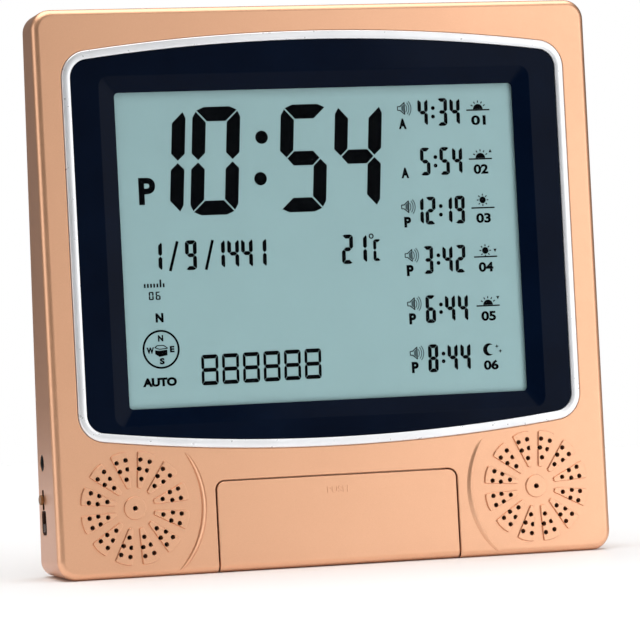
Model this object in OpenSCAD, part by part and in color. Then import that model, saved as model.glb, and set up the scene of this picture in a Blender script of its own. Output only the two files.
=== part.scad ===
// Desk clock with a wide wedge case: a leaning front face with a recessed
// liquid-crystal display, two petal speaker grilles, a push-to-open key flap,
// side controls and a battery bay in the upright back.
// Millimetres. +Z up, front faces -Y, origin at the middle of the base.

/* [Case] */
// Overall width of the case
case_w = 215; // [205:1:230]
// Overall height of the case
case_h = 205; // [200:1:215]
// Depth of the case at the base
base_depth = 28; // [27:0.5:30]
// Depth of the case at the top edge
top_depth = 14.5; // [14:0.5:17]
// Radius of the four front corners
corner_r = 7.5; // [6:0.5:10]
// Radius that runs round the front edge
edge_r = 2.6; // [1.5:0.1:3]
// Thickness of the front wall
wall = 2.2; // [2:0.1:2.6]

/* [Display] */
// Half width of the bright ring round the display
ring_half = 97.3; // [94:0.1:98]
// Radius of the long bowed top and bottom edges of the ring
ring_bow = 717; // [600:1:900]
// Width of the ring
ring_w = 3.1; // [2:0.1:4]
// Visible width of the display window
window_w = 154.6; // [140:0.1:156]
// Visible height of the display window
window_h = 114.3; // [100:0.1:115]
// Width of the sloped border round the window
slope_w = 6.2; // [4:0.1:6.5]

/* [Speakers] */
// Distance of each grille from the middle
grille_x = 77.9; // [76:0.1:79]
// Height of the grille centres along the face
grille_z = 25.1; // [24.8:0.1:26]
// Number of raised petals in a grille
petals = 12; // [8:1:14]
// Diameter of one sound hole
hole_d = 1.5; // [1:0.1:2]

/* [Flap] */
// Width of the opening under the flap
flap_w = 94; // [88:1:95]
// Height of the opening under the flap
flap_h = 33.5; // [30:0.1:33.5]
// Gap round the flap
flap_gap = 0.55; // [0.3:0.05:0.6]
// Thickness of the flap
flap_t = 2; // [1.6:0.1:2.2]

/* [Keys] */
// Distance between neighbouring keys under the flap
key_pitch = 15; // [14:0.5:16]
// Width of a key
key_w = 9; // [7:0.1:9.6]
// Height of a key
key_h = 6.4; // [5:0.1:7]
// Travel of a key
key_travel = 0.8; // [0.4:0.1:0.9]

/* [Hidden] */
$fn = 40;
lean = atan((base_depth - top_depth) / case_h);
tl = tan(lean);
face_h = case_h / cos(lean);
yf = -13.85;                 // front bottom edge of the face
yb = yf + base_depth;        // upright back plane
cov = 2.2;                   // rear cover thickness
yc = yb - cov;               // inner face of the rear cover
ring_top = 195.7;            // crown of the ring, along the face
ring_bot = 43.9;             // lowest point of the ring
ring_r = 10;                 // corner radius of the ring
win_z = 117.67;              // middle of the window, along the face
cav_x = 103;                 // half width of the hollow
cav_z0 = 4.6;
cav_z1 = 201.6;
pan_d = 6;                   // depth of the key recess
ax_d = 2.8;                  // flap hinge line: depth
ax_z = 3.1;                  // flap hinge line: height along the face
flap_in = flap_w / 2 - flap_gap;
key_z = 15.5;
keys_x = [for (i = [0:5]) (i - 2.5) * key_pitch];
posts = [[-30, 8], [30, 8], [-30, 24], [30, 24]];
lcd_bosses = [[-86, 62], [86, 62], [-86, 176], [86, 176]];
case_bosses = [[-98.2, 195.5], [98.2, 195.5], [-99.6, 51.5], [99.6, 51.5],
               [-98.5, 9], [98.5, 9], [-52.6, 7.9], [52.6, 7.9]];
ears = [28, 150, 207, 335];
ear_r = 24;
arc_c = [82.3, 24.0];
arc_r = 32.2;
jack_d = 18.65;              // inlet axis: depth
jack_z = 43;                 // inlet axis: height along the face
sw_d = 19.6;                 // both side switches: depth of their middle
sw1_z = 29.65;
sw2_z = 19.5;
bay_x = 54.5;
bay_z0 = 37.4;
bay_z1 = 52.6;
bay_y = yc - 15.25;          // inner floor of the battery bay
cell_y = 4.55;
cell_z = 45;
door_x = 57;
door_y0 = yb - 1.9;
door_y1 = yb - 0.1;
door_ay = (door_y0 + door_y1) / 2;
door_az = 35.95;
keyhole_x = 60;
keyhole_z = 168;

// ---------- frames ----------
// The face frame: x across, y into the case, z up along the face.
module on_face() { translate([0, yf, 0]) rotate([-lean, 0, 0]) children(); }
// A flat shape given as (x, z), from depth a to depth b.
module deep(a, b) { translate([0, b, 0]) rotate([90, 0, 0]) linear_extrude(b - a) children(); }
// A flat shape given as (depth, z), from x = a to x = b.
module across(a, b) { translate([a, 0, 0]) rotate([90, 0, 90]) linear_extrude(b - a) children(); }
// A solid of revolution about a line into the case at (x, z); its points are (radius, depth).
module turned(x, z, pts) { translate([x, 0, z]) rotate([-90, 0, 0]) rotate_extrude($fn = 64) polygon(pts); }
module rod(x, z, r, a, b) { translate([x, b, z]) rotate([90, 0, 0]) cylinder(r = r, h = b - a); }
module rodx(y, z, r, a, b) { translate([a, y, z]) rotate([0, 90, 0]) cylinder(r = r, h = b - a); }

module rrect(w, h, r) {
    square([w - 2 * r, h], center = true);
    square([w, h - 2 * r], center = true);
    for (sx = [-1, 1], sz = [-1, 1]) translate([sx * (w / 2 - r), sz * (h / 2 - r)]) circle(r = r);
}

// ---------- the bowed outline of the ring and bezel ----------
// Each long edge is one large arc that meets the upright sides in round corners.
// o moves the outline inwards.
function bow_pts(o) =
    let (zt = ring_top - ring_bow, zb = ring_bot + ring_bow,
         cx = ring_half - ring_r,
         dz = sqrt(pow(ring_bow - ring_r, 2) - cx * cx),
         dl = asin(cx / (ring_bow - ring_r)),
         r = ring_r - o, R = ring_bow - o, n = 8, m = 16)
    concat(
        [for (i = [0:n]) let (a = -90 + dl + (90 - dl) * i / n) [cx + r * cos(a), zb - dz + r * sin(a)]],
        [for (i = [0:n]) let (a = (90 - dl) * i / n) [cx + r * cos(a), zt + dz + r * sin(a)]],
        [for (i = [1:m - 1]) let (a = 90 - dl + 2 * dl * i / m) [R * cos(a), zt + R * sin(a)]],
        [for (i = [0:n]) let (a = 90 + dl + (90 - dl) * i / n) [-cx + r * cos(a), zt + dz + r * sin(a)]],
        [for (i = [0:n]) let (a = 180 + (90 - dl) * i / n) [-cx + r * cos(a), zb - dz + r * sin(a)]],
        [for (i = [1:m - 1]) let (a = 270 - dl + 2 * dl * i / m) [R * cos(a), zb + R * sin(a)]]);
module bow(o) { polygon(bow_pts(o)); }

// ---------- case blank ----------
// Half profile of the edge: face, rounded edge, then a side that draws in towards
// the back at the same angle as the face leans, so the base comes out level.
function edge_pts(h, d) =
    let (a = edge_r * (1 + sin(lean)) / cos(lean), n = 6)
    concat([for (i = [0:n]) let (p = (90 + lean) * i / n)
                [h - a + edge_r * sin(p), edge_r - edge_r * cos(p)]],
           [[h - d * tl, d]]);
function mirrored(p) = concat(p, [for (i = [len(p) - 1:-1:0]) [-p[i][0], p[i][1]]]);
module blank() {
    d = base_depth + 4;
    w2 = case_w / 2;
    h2 = face_h / 2;
    translate([0, 0, corner_r]) linear_extrude(face_h - 2 * corner_r) polygon(mirrored(edge_pts(w2, d)));
    translate([-(w2 - corner_r), 0, h2]) rotate([0, 90, 0]) linear_extrude(case_w - 2 * corner_r)
        polygon(mirrored(edge_pts(h2, d)));
    for (sx = [-1, 1], z = [corner_r, face_h - corner_r])
        turned(sx * (w2 - corner_r), z, concat([[0, 0]], edge_pts(corner_r, d), [[0, d]]));
}

// ---------- grille ----------
module petal_shape() {
    polygon([[-0.8, 7.35], [0.8, 7.35], [3.4, 20.2], [1.2, 20.65], [-1.2, 20.65], [-3.4, 20.2]]);
}
module grille_relief() {
    deep(-0.6, 0.5) for (i = [0:petals - 1]) rotate(15 + i * 360 / petals) petal_shape();
    rod(0, 0, 4.1, -0.5, 0.5);
}
module grille_holes() {
    for (i = [0:petals - 1]) {
        a = 15 + i * 360 / petals;
        for (h = [[10.78, 0], [14.26, -5.98], [14.26, 5.98], [17.57, -5.8], [17.57, 5.8]])
            rod(h[0] * sin(a + h[1]), h[0] * cos(a + h[1]), hole_d / 2, -2, 4);
    }
    rod(0, 0, 0.8, -2, 4);
}
// A raised crescent beside each grille, on the side of the flap.
module crescent() {
    n = 20;
    a0 = 141.5;
    a1 = 222;
    polygon(concat(
        [for (i = [0:n]) let (a = a0 + (a1 - a0) * i / n) [arc_c[0] + (arc_r + 0.1) * cos(a), arc_c[1] + (arc_r + 0.1) * sin(a)]],
        [for (i = [n - 1:-1:1]) let (a = a0 + (a1 - a0) * i / n, w = 2.2 * pow(sin(180 * i / n), 0.35))
            [arc_c[0] + (arc_r + 0.1 - w) * cos(a), arc_c[1] + (arc_r + 0.1 - w) * sin(a)]]));
}

// ---------- front housing ----------
module flap_opening(g) {
    x = flap_w / 2 - g;
    r = 3.5 - g;
    z = flap_h - g;
    translate([-x, -2]) square([2 * x, z + 2 - r]);
    translate([-x + r, -2]) square([2 * (x - r), z + 2]);
    for (s = [-1, 1]) translate([s * (x - r), z - r]) circle(r = r);
}
module front_housing() color("#e0a883") difference() {
    union() {
        difference() {
            on_face() blank();
            translate([-150, yb, -20]) cube([300, 60, 260]);
            on_face() deep(wall, 60) translate([0, (cav_z0 + cav_z1) / 2]) rrect(2 * cav_x, cav_z1 - cav_z0, 5);
            translate([0, 0, 101.55]) deep(yc, yb + 5) rrect(208.4, 199.9, 4.5);
        }
        on_face() {
            for (s = [-1, 1]) translate([s * grille_x, 0, grille_z]) grille_relief();
            deep(-0.6, 0.5) crescent();
            deep(-0.6, 0.5) mirror([1, 0]) crescent();
            // walls and floor of the key recess
            translate([-49.5, 1, 3]) cube([99, 6.5, flap_h + 1.8 - 3]);
            for (p = posts) rod(p[0], p[1], 2, 7, 12);
            // rings and posts for the speakers
            for (s = [-1, 1]) {
                translate([s * grille_x, 0, grille_z]) deep(wall - 0.2, 4) difference() { circle(r = 21.6, $fn = 64); circle(r = 20.5, $fn = 64); }
                for (a = ears) rod(s * (grille_x + ear_r * cos(a)), grille_z + ear_r * sin(a), 2, wall - 0.2, 4);
            }
        }
        // posts for the rear cover
        for (p = case_bosses) translate([0, 0, 0]) rod(p[0], p[1], 3.2, yf + p[1] * tl + 1.2, yc);
    }
    on_face() {
        // seat of the ring, then the opening behind it
        deep(-2, 1) bow(-0.15);
        deep(0.5, 6) bow(1.5);
        deep(-2, pan_d) flap_opening(0);
        for (s = [-1, 1]) {
            rodx(ax_d, ax_z, 1.25, s > 0 ? flap_w / 2 - 1 : -flap_w / 2 - 2, s > 0 ? flap_w / 2 + 2 : -flap_w / 2 + 1);
            translate([s * grille_x, 0, grille_z]) grille_holes();
            for (a = ears) rod(s * (grille_x + ear_r * cos(a)), grille_z + ear_r * sin(a), 0.9, 1.6, 6);
        }
        for (x = keys_x) deep(pan_d - 2, 9) translate([x, key_z]) rrect(key_w + 0.6, key_h + 0.6, 1.8);
        for (p = posts) rod(p[0], p[1], 0.9, 8, 13);
        // side controls
        rodx(jack_d, jack_z, 3.1, -112, -cav_x + 1);
        across(-112, -cav_x + 1) translate([sw_d, sw1_z]) rrect(2.4, 7.3, 0.5);
        across(-112, -104.98) translate([sw_d, 21.45]) rrect(5.4, 8.5, 1.5);
        across(-112, -cav_x + 1) translate([sw_d, 21.45]) rrect(2.4, 6.5, 0.5);
    }
    for (p = case_bosses) rod(p[0], p[1], 1.35, yf + p[1] * tl + 3.2, yb);
    for (s = [-1, 1]) translate([s * 78 - 12, -3, -1]) cube([24, 8, 2]);
}

// ---------- rear cover ----------
module keyhole2d() {
    circle(r = 4);
    translate([-2, 0]) square([4, 9]);
    translate([0, 9]) circle(r = 2);
}
module rear_cover() color("#b98a70") difference() {
    union() {
        translate([0, 0, 101.55]) deep(yc, yb) rrect(208.1, 199.6, 4.35);
        // battery bay and the seat of its door
        translate([-bay_x - 1.2, bay_y - 1.2, bay_z0 - 1.2]) cube([2 * bay_x + 2.4, yc - bay_y + 1.3, bay_z1 - bay_z0 + 2.4]);
        translate([-60.5, yc - 1.45, 32.4]) cube([121, 1.55, 25.4]);
        for (s = [-1, 1]) {
            rod(s * keyhole_x, keyhole_z, 6.5, yc - 0.8, yc + 0.1);
            // stiffening ribs
            translate([s * 40 - 0.8, yc - 2, 66]) cube([1.6, 2.1, 118]);
        }
        translate([-85, yc - 2, 110]) cube([170, 2.1, 1.6]);
    }
    deep(bay_y, yb + 5) translate([0, (bay_z0 + bay_z1) / 2]) square([2 * bay_x, bay_z1 - bay_z0], center = true);
    deep(yc, yb + 5) translate([0, 45]) square([2 * door_x + 0.6, 20.8], center = true);
    for (s = [-1, 1]) {
        rodx(door_ay, door_az, 0.65, s > 0 ? door_x - 1 : -door_x - 1.9, s > 0 ? door_x + 1.9 : -door_x + 1);
        translate([s * keyhole_x, 0, keyhole_z]) deep(yc - 5, yb + 5) keyhole2d();
        for (i = [0:4]) deep(yc - 3, yb + 5) translate([s * 78, 60 + i * 5]) rrect(24, 2, 0.99);
    }
    translate([0, 0, 57]) deep(yb - 1.1, yb + 5) rrect(14, 4, 1.5);
    for (p = case_bosses) {
        rod(p[0], p[1], 1.6, yc - 1, yb + 1);
        rod(p[0], p[1], 3.1, yc + 1, yb + 1);
    }
}

// ---------- display ----------
module trim_ring() color("#e6e8ec") on_face() {
    deep(-0.8, 1) difference() { bow(0); bow(ring_w); }
    deep(1, wall) difference() { bow(1.6); bow(ring_w); }
}
module display_bezel() color("#0a0f1c") on_face() difference() {
    union() {
        deep(0, wall) bow(ring_w + 0.1);
        deep(wall, 4.2) bow(-1);
        for (p = lcd_bosses) rod(p[0], p[1], 2.5, 4, 9.4);
    }
    hull() {
        deep(-0.2, -0.1) translate([0, win_z]) rrect(window_w + 2 * slope_w + 0.4, window_h + 2 * slope_w - 0.2, 4, $fn = 32);
        deep(1.8, 1.9) translate([0, win_z]) rrect(window_w, window_h, 1.5, $fn = 32);
    }
    deep(1.5, 6) translate([0, win_z]) rrect(window_w, window_h, 1.5);
    deep(wall, 6) translate([0, win_z]) square([160, 118.3], center = true);
    deep(3.2, 6) translate([0, win_z]) square([163.6, 122.1], center = true);
    for (p = lcd_bosses) rod(p[0], p[1], 0.9, 5, 12);
}
module display_lens() color("#dfe8e8", 0.35) on_face() deep(wall, 3.2) translate([0, win_z]) square([159.6, 117.9], center = true);
module lcd_glass() color("#94b2b6") on_face() deep(3.3, 6.1) translate([0, win_z]) square([163, 121.5], center = true);
module backlight() color("#eef2ee") on_face() deep(6.1, 9.4) translate([0, win_z]) square([158, 116], center = true);
module contact_strips() color("#3a3f46") on_face()
    for (s = [-1, 1]) deep(6.1, 9.4) translate([0, win_z + s * 59.5]) square([152, 2], center = true);
module display_board() color("#1f6b3a") on_face() difference() {
    deep(9.4, 11) translate([0, 119.5]) square([179, 126], center = true);
    for (p = lcd_bosses) rod(p[0], p[1], 1.1, 9, 12);
}
module board_chips() color("#202226") on_face() {
    translate([-52, 11, 112]) cube([14, 1.2, 14]);
    translate([-20, 11, 100]) cube([10, 1.2, 8]);
    translate([14, 11, 128]) cube([9, 1.2, 16]);
    translate([44, 11, 96]) cube([8, 1.2, 10]);
}
module board_capacitors() color("#2b3a66") on_face() {
    for (p = [[62, 72, 3.1, 8], [70, 72, 2.5, 6], [-66, 78, 3.1, 8], [-58, 78, 2.5, 6]]) rod(p[0], p[1], p[2], 11, 11 + p[3] * 0.9);
}

// ---------- keys and flap ----------
module key_cap(i) on_face() {
    deep(3.6, 7.7) translate([keys_x[i], key_z]) rrect(key_w, key_h, 1.5);
    deep(7.6, 8.4) translate([keys_x[i], key_z]) rrect(key_w + 2.2, key_h + 2.2, 1.2);
    rod(keys_x[i], key_z, 1.5, 8.3, 10);
}
module key_1() color("#c9ccd2") key_cap(0);
module key_2() color("#c9ccd2") key_cap(1);
module key_3() color("#c9ccd2") key_cap(2);
module key_4() color("#c9ccd2") key_cap(3);
module key_5() color("#c9ccd2") key_cap(4);
module key_6() color("#c9ccd2") key_cap(5);
module key_switches() color("#26282c") on_face() for (x = keys_x) difference() {
    deep(9.3, 12) translate([x, key_z]) square([6, 6], center = true);
    rod(x, key_z, 1.9, 9, 11.3);
}
module key_board() color("#1f6b3a") on_face() difference() {
    deep(12, 13.2) translate([0, 16.4]) square([90, 22], center = true);
    for (p = posts) rod(p[0], p[1], 1.1, 11, 14);
}
module flap_lid() color("#e0a883") on_face() {
    difference() {
        union() {
            intersection() {
                deep(0, flap_t) flap_opening(flap_gap);
                translate([-60, -1, ax_z]) cube([120, 10, 60]);
            }
            rodx(ax_d, ax_z, ax_d, -flap_in, flap_in);
        }
        // a shallow round thumb mark on the inside
        translate([0, flap_t + 0.7, 22]) rotate([90, 0, 0]) cylinder(r = 5, h = 1.2);
    }
    translate([-3, flap_t - 0.1, 28.5]) cube([6, 2.5, 1.2]);
    rodx(ax_d, ax_z, 1.2, flap_in - 1, flap_w / 2 + 1.6);
    rodx(ax_d, ax_z, 1.2, -flap_w / 2 - 1.6, -flap_in + 1);
}
module flap_catch() color("#2e3034") on_face() {
    translate([-5.3, 5.2, 27.7]) cube([10.6, 0.8, 2.8]);
    for (s = [-1, 1]) translate([s > 0 ? 3.3 : -5.3, 3, 27.7]) cube([2, 2.3, 2.8]);
}

// ---------- screws ----------
module small_screw(x, z, d, l = 3.4) {
    difference() {
        rod(x, z, 1.9, d, d + 1);
        translate([x - 1.3, d + 0.6, z - 0.2]) cube([2.6, 1, 0.4]);
        translate([x - 0.2, d + 0.6, z - 1.3]) cube([0.4, 1, 2.6]);
    }
    rod(x, z, 0.9, d - l, d + 0.1);
}
module small_screws() color("#b9bcc2") on_face() {
    for (p = posts) small_screw(p[0], p[1], 13.2);
    for (p = lcd_bosses) small_screw(p[0], p[1], 11);
    for (s = [-1, 1], a = ears) small_screw(s * (grille_x + ear_r * cos(a)), grille_z + ear_r * sin(a), 4.8, 3);
}
module case_screws() color("#8d9096") for (p = case_bosses) {
    difference() {
        rod(p[0], p[1], 2.8, yc + 1, yb - 0.15);
        translate([p[0] - 1.8, yb - 0.8, p[1] - 0.3]) cube([3.6, 1, 0.6]);
        translate([p[0] - 0.3, yb - 0.8, p[1] - 1.8]) cube([0.6, 1, 3.6]);
    }
    rod(p[0], p[1], 1.35, yc - 6.5, yc + 1.1);
}

// ---------- speakers ----------
module both_speakers() on_face() for (s = [-1, 1]) translate([s * grille_x, 0, grille_z]) children();
module speaker_gaskets() color("#3a3a3c") both_speakers()
    deep(wall, 3) difference() { circle(r = 20.3, $fn = 64); circle(r = 17.2, $fn = 64); }
module speaker_baskets() color("#7d8086") both_speakers()
    turned(0, 0, [[17, 3], [20.3, 3], [20.3, 4], [17.6, 4], [11.6, 9.8], [4, 9.8], [4, 9], [10.9, 9], [17, 3.9]]);
module speaker_cones() color("#1c1c1e") both_speakers()
    turned(0, 0, [[0, 5.4], [2.4, 5.6], [4.6, 6.6], [14.2, 3.6], [15.4, 3.15], [17, 3.15], [17, 3.6], [15.6, 3.6], [14.4, 4.05], [5.3, 7.1], [5.3, 8.6], [4.6, 8.6], [4.6, 7.2], [2.3, 6.1], [0, 5.9]]);
module speaker_magnets() color("#2a2a2e") both_speakers()
    turned(0, 0, [[0, 9.8], [11, 9.8], [11, 14.3], [9.8, 14.3], [9.8, 15.5], [0, 15.5]]);
module speaker_clamps() color("#a4a7ad") on_face() for (s = [-1, 1]) difference() {
    union() {
        translate([s * grille_x, 0, grille_z]) deep(4, 4.8) circle(r = 20.3, $fn = 64);
        for (a = ears) {
            rod(s * (grille_x + ear_r * cos(a)), grille_z + ear_r * sin(a), 2.3, 4, 4.8);
            translate([s * grille_x, 0, grille_z]) deep(4, 4.8) mirror([s > 0 ? 0 : 1, 0]) rotate(a) translate([19.5, -1.9]) square([ear_r - 19.5, 3.8]);
        }
    }
    translate([s * grille_x, 0, grille_z]) deep(3, 6) circle(r = 18, $fn = 64);
    for (a = ears) rod(s * (grille_x + ear_r * cos(a)), grille_z + ear_r * sin(a), 1.1, 3, 6);
}

// ---------- side controls ----------
module side_board() color("#1f6b3a") on_face() translate([-102.8, 13.4, 14]) cube([11.8, 1.2, 34]);
module dc_inlet() color("#17181a") on_face() difference() {
    translate([-102.6, 14.6, 38.6]) cube([11.1, 7.9, 8.8]);
    rodx(jack_d, jack_z, 2.75, -104, -93.5);
}
module dc_pin() color("#c8a24a") on_face() rodx(jack_d, jack_z, 1, -100.6, -93.5);
module mode_switch() color("#26282c") on_face() difference() {
    translate([-102.9, 14.6, 26.1]) cube([4.4, 8.6, 7.6]);
    across(-104, -100.4) translate([sw_d, sw1_z]) square([2.4, 6.9], center = true);
}
module mode_knob() color("#8a5a2c") on_face() {
    translate([-107.3, sw_d - 0.95, sw1_z - 1]) cube([6.2, 1.9, 2]);
    rodx(sw_d, sw1_z, 1.8, -107.45, -106.5);
}
module level_switch() color("#26282c") on_face() difference() {
    translate([-102.9, 14.6, 16.8]) cube([4.4, 8.6, 9.1]);
    across(-104, -100.4) translate([sw_d, 21.45]) square([2.4, 6.5], center = true);
}
module level_knob() color("#3a2c26") on_face() {
    translate([-106, sw_d - 0.95, sw2_z - 1]) cube([4.9, 1.9, 2]);
    across(-106.2, -105.2) translate([sw_d, sw2_z]) rrect(2.8, 3, 0.5);
}

// ---------- batteries ----------
module battery_cells() color("#3b4a5a") for (x = [-47.15, 3.4]) {
    rodx(cell_y, cell_z, 7.15, x, x + 49.5);
    rodx(cell_y, cell_z, 2.75, x + 49.4, x + 50.5);
}
// A conical coil, swept as a tube with eight sides along its own helix.
function coil_at(t) = let (r = 5 - 2.2 * t) [-53.6 + 6.1 * t, cell_y + r * cos(360 * 3.5 * t), cell_z + r * sin(360 * 3.5 * t)];
module battery_spring() color("#c4c7cc") {
    n = 72;
    k = 8;
    w = 0.38;
    pts = [for (i = [0:n]) let (t = i / n, a = 360 * 3.5 * t, c = coil_at(t))
        for (j = [0:k - 1]) let (b = 360 * j / k)
            [c[0] + w * sin(b), c[1] + w * cos(b) * cos(a), c[2] + w * cos(b) * sin(a)]];
    polyhedron(points = pts, faces = concat(
        [[for (j = [k - 1:-1:0]) j]],
        [for (i = [0:n - 1], j = [0:k - 1]) [i * k + j, i * k + (j + 1) % k, (i + 1) * k + (j + 1) % k, (i + 1) * k + j]],
        [[for (j = [0:k - 1]) n * k + j]]), convexity = 6);
}
module battery_contacts() color("#c4c7cc") {
    translate([-bay_x, bay_y + 0.6, 38.4]) cube([0.5, 13.4, 13.2]);
    translate([53.9, bay_y + 0.6, 38.4]) cube([0.6, 13.4, 13.2]);
}
module battery_door() color("#b98a70") difference() {
    union() {
        translate([-door_x, door_y0, door_az]) cube([2 * door_x, door_y1 - door_y0, 55.1 - door_az]);
        rodx(door_ay, door_az, 0.9, -door_x, door_x);
        rodx(door_ay, door_az, 0.6, -door_x - 1.6, door_x + 1.6);
    }
    for (i = [0:3]) translate([-6, door_y1 - 0.4, 48 + i * 1.6]) cube([12, 1, 0.7]);
}
module rubber_pads() color("#2a2a2a") for (s = [-1, 1]) translate([s * 78 - 11.8, -2.8, 0]) cube([23.6, 7.6, 1]);

front_housing();
rear_cover();
trim_ring();
display_bezel();
display_lens();
lcd_glass();
backlight();
contact_strips();
display_board();
board_chips();
board_capacitors();
key_board();
key_switches();
key_1();
key_2();
key_3();
key_4();
key_5();
key_6();
flap_lid();
flap_catch();
small_screws();
case_screws();
speaker_gaskets();
speaker_baskets();
speaker_cones();
speaker_magnets();
speaker_clamps();
side_board();
dc_inlet();
dc_pin();
mode_switch();
mode_knob();
level_switch();
level_knob();
battery_cells();
battery_spring();
battery_contacts();
battery_door();
rubber_pads();
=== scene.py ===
import math

import bmesh
import bpy
from mathutils import Matrix, Vector


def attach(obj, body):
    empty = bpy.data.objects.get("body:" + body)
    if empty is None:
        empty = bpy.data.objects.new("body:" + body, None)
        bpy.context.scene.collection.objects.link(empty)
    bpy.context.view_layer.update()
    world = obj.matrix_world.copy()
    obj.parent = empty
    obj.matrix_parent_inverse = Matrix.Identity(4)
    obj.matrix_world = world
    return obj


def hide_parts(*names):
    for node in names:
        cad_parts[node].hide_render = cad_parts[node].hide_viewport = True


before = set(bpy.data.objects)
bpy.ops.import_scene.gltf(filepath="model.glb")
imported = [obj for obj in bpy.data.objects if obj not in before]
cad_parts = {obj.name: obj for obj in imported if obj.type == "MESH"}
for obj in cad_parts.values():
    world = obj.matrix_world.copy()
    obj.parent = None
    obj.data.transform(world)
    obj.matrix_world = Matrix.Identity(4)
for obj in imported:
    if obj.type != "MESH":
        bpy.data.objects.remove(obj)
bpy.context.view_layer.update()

# ------------------------------------------------------------------ dimensions
# The face frame, in millimetres: x across, d into the case, z up along the face.
L = math.atan((28.0 - 14.5) / 205.0)
SL, CL, TL = math.sin(L), math.cos(L), math.tan(L)
YF, YB, YC = -13.85, 14.15, 11.95
FACE_H = 205.0 / CL
HALF_W = 107.5
CORNER_R = 7.5
EDGE_R = 2.6
EDGE_A = EDGE_R * (1 + SL) / CL
WALL = 2.2
PAN_D = 6.0
WIN_Z = 117.67
WIN_W, WIN_H = 154.6, 114.3
GRILLE_X, GRILLE_Z = 77.9, 25.1
EARS = (28, 150, 207, 335)
EAR_R = 24.0
FLAP_X, FLAP_TOP, FLAP_GAP = 47.0, 33.5, 0.55
AX_D, AX_Z = 2.8, 3.1
KEY_Z = 15.5
KEYS_X = [(i - 2.5) * 15 for i in range(6)]
POSTS = [(-30, 8), (30, 8), (-30, 24), (30, 24)]
LCD_BOSSES = [(-86, 62), (86, 62), (-86, 176), (86, 176)]
CASE_BOSSES = [(-98.2, 195.5), (98.2, 195.5), (-99.6, 51.5), (99.6, 51.5),
               (-98.5, 9), (98.5, 9), (-52.6, 7.9), (52.6, 7.9)]
JACK = (18.65, 43.0)
SW_D, SW1_Z, SW2_Z = 19.6, 29.65, 19.5

# Face-frame millimetres to row-frame metres, and upright millimetres to the same.
FACE = Matrix(((0.001, 0, 0, 0),
               (0, 0.001 * CL, 0.001 * SL, 0.001 * YF),
               (0, -0.001 * SL, 0.001 * CL, 0),
               (0, 0, 0, 1)))
UPRIGHT = Matrix.Diagonal((0.001, 0.001, 0.001, 1))
UP_TO_FACE = FACE.inverted() @ UPRIGHT

SCENE = bpy.context.scene


# ------------------------------------------------------------------ mesh helpers
def new_object(name, me):
    o = bpy.data.objects.new(name, me)
    SCENE.collection.objects.link(o)
    return o


def from_lists(name, verts, faces, outward=True):
    bm = bmesh.new()
    vs = [bm.verts.new(v) for v in verts]
    for f in faces:
        try:
            bm.faces.new([vs[i] for i in f])
        except ValueError:
            pass
    if outward:
        bmesh.ops.recalc_face_normals(bm, faces=bm.faces)
    me = bpy.data.meshes.new(name)
    bm.to_mesh(me)
    bm.free()
    return new_object(name, me)


def loft(rings, caps=(True, True), ring_closed=True, rows_closed=False):
    """Vertices and faces of a skin over rings of equally many points."""
    n = len(rings[0])
    verts = [p for r in rings for p in r]
    faces = []
    m = len(rings)
    for k in range(m if rows_closed else m - 1):
        a, b = k * n, ((k + 1) % m) * n
        for i in range(n if ring_closed else n - 1):
            j = (i + 1) % n
            faces.append((a + i, a + j, b + j, b + i))
    if caps[0]:
        faces.append(tuple(range(n)))
    if caps[1]:
        faces.append(tuple(range((m - 1) * n, m * n))[::-1])
    return verts, faces


def solid(name, rings, **k):
    v, f = loft(rings, **k)
    return from_lists(name, v, f)


def boolean(a, b, op="DIFFERENCE", keep=False):
    """a becomes a op b; b is removed."""
    m = a.modifiers.new("b", "BOOLEAN")
    m.operation, m.object, m.solver = op, b, "MANIFOLD"
    bpy.context.view_layer.update()
    me = bpy.data.meshes.new_from_object(a.evaluated_get(bpy.context.evaluated_depsgraph_get()))
    a.modifiers.clear()
    old = a.data
    a.data = me
    bpy.data.meshes.remove(old)
    if not keep:
        drop(b)
    if len(a.data.polygons) == 0:
        raise RuntimeError(f"{a.name}: {op} with {b.name if keep else 'a cutter'} left nothing")
    return a


def drop(o):
    me = o.data
    bpy.data.objects.remove(o)
    if me.users == 0:
        bpy.data.meshes.remove(me)


def merge(name, objs):
    """One object of several separate closed shells."""
    bm = bmesh.new()
    for o in objs:
        bm.from_mesh(o.data)
        drop(o)
    me = bpy.data.meshes.new(name)
    bm.to_mesh(me)
    bm.free()
    return new_object(name, me)


def transform(o, m):
    o.data.transform(m)
    if m.to_3x3().determinant() < 0:
        o.data.flip_normals()
    return o


def copy_of(o, name):
    return new_object(name, o.data.copy())


def apply_modifiers(o):
    bpy.context.view_layer.update()
    me = bpy.data.meshes.new_from_object(o.evaluated_get(bpy.context.evaluated_depsgraph_get()))
    o.modifiers.clear()
    old = o.data
    o.data = me
    bpy.data.meshes.remove(old)
    return o


def tidy(o, angle=0.4, dist=1e-4):
    """Joins doubled points and melts flat neighbours together."""
    bm = bmesh.new()
    bm.from_mesh(o.data)
    bmesh.ops.remove_doubles(bm, verts=bm.verts, dist=dist)
    bmesh.ops.dissolve_degenerate(bm, edges=bm.edges, dist=dist)
    bmesh.ops.dissolve_limit(bm, angle_limit=math.radians(angle), verts=bm.verts, edges=bm.edges)
    bm.to_mesh(o.data)
    bm.free()
    return o


def bevel(o, width, segments=3, angle=35, clamp=True):
    m = o.modifiers.new("bevel", "BEVEL")
    m.width, m.segments, m.limit_method = width, segments, "ANGLE"
    m.angle_limit = math.radians(angle)
    m.use_clamp_overlap = clamp
    m.harden_normals = False
    return apply_modifiers(o)


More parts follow.
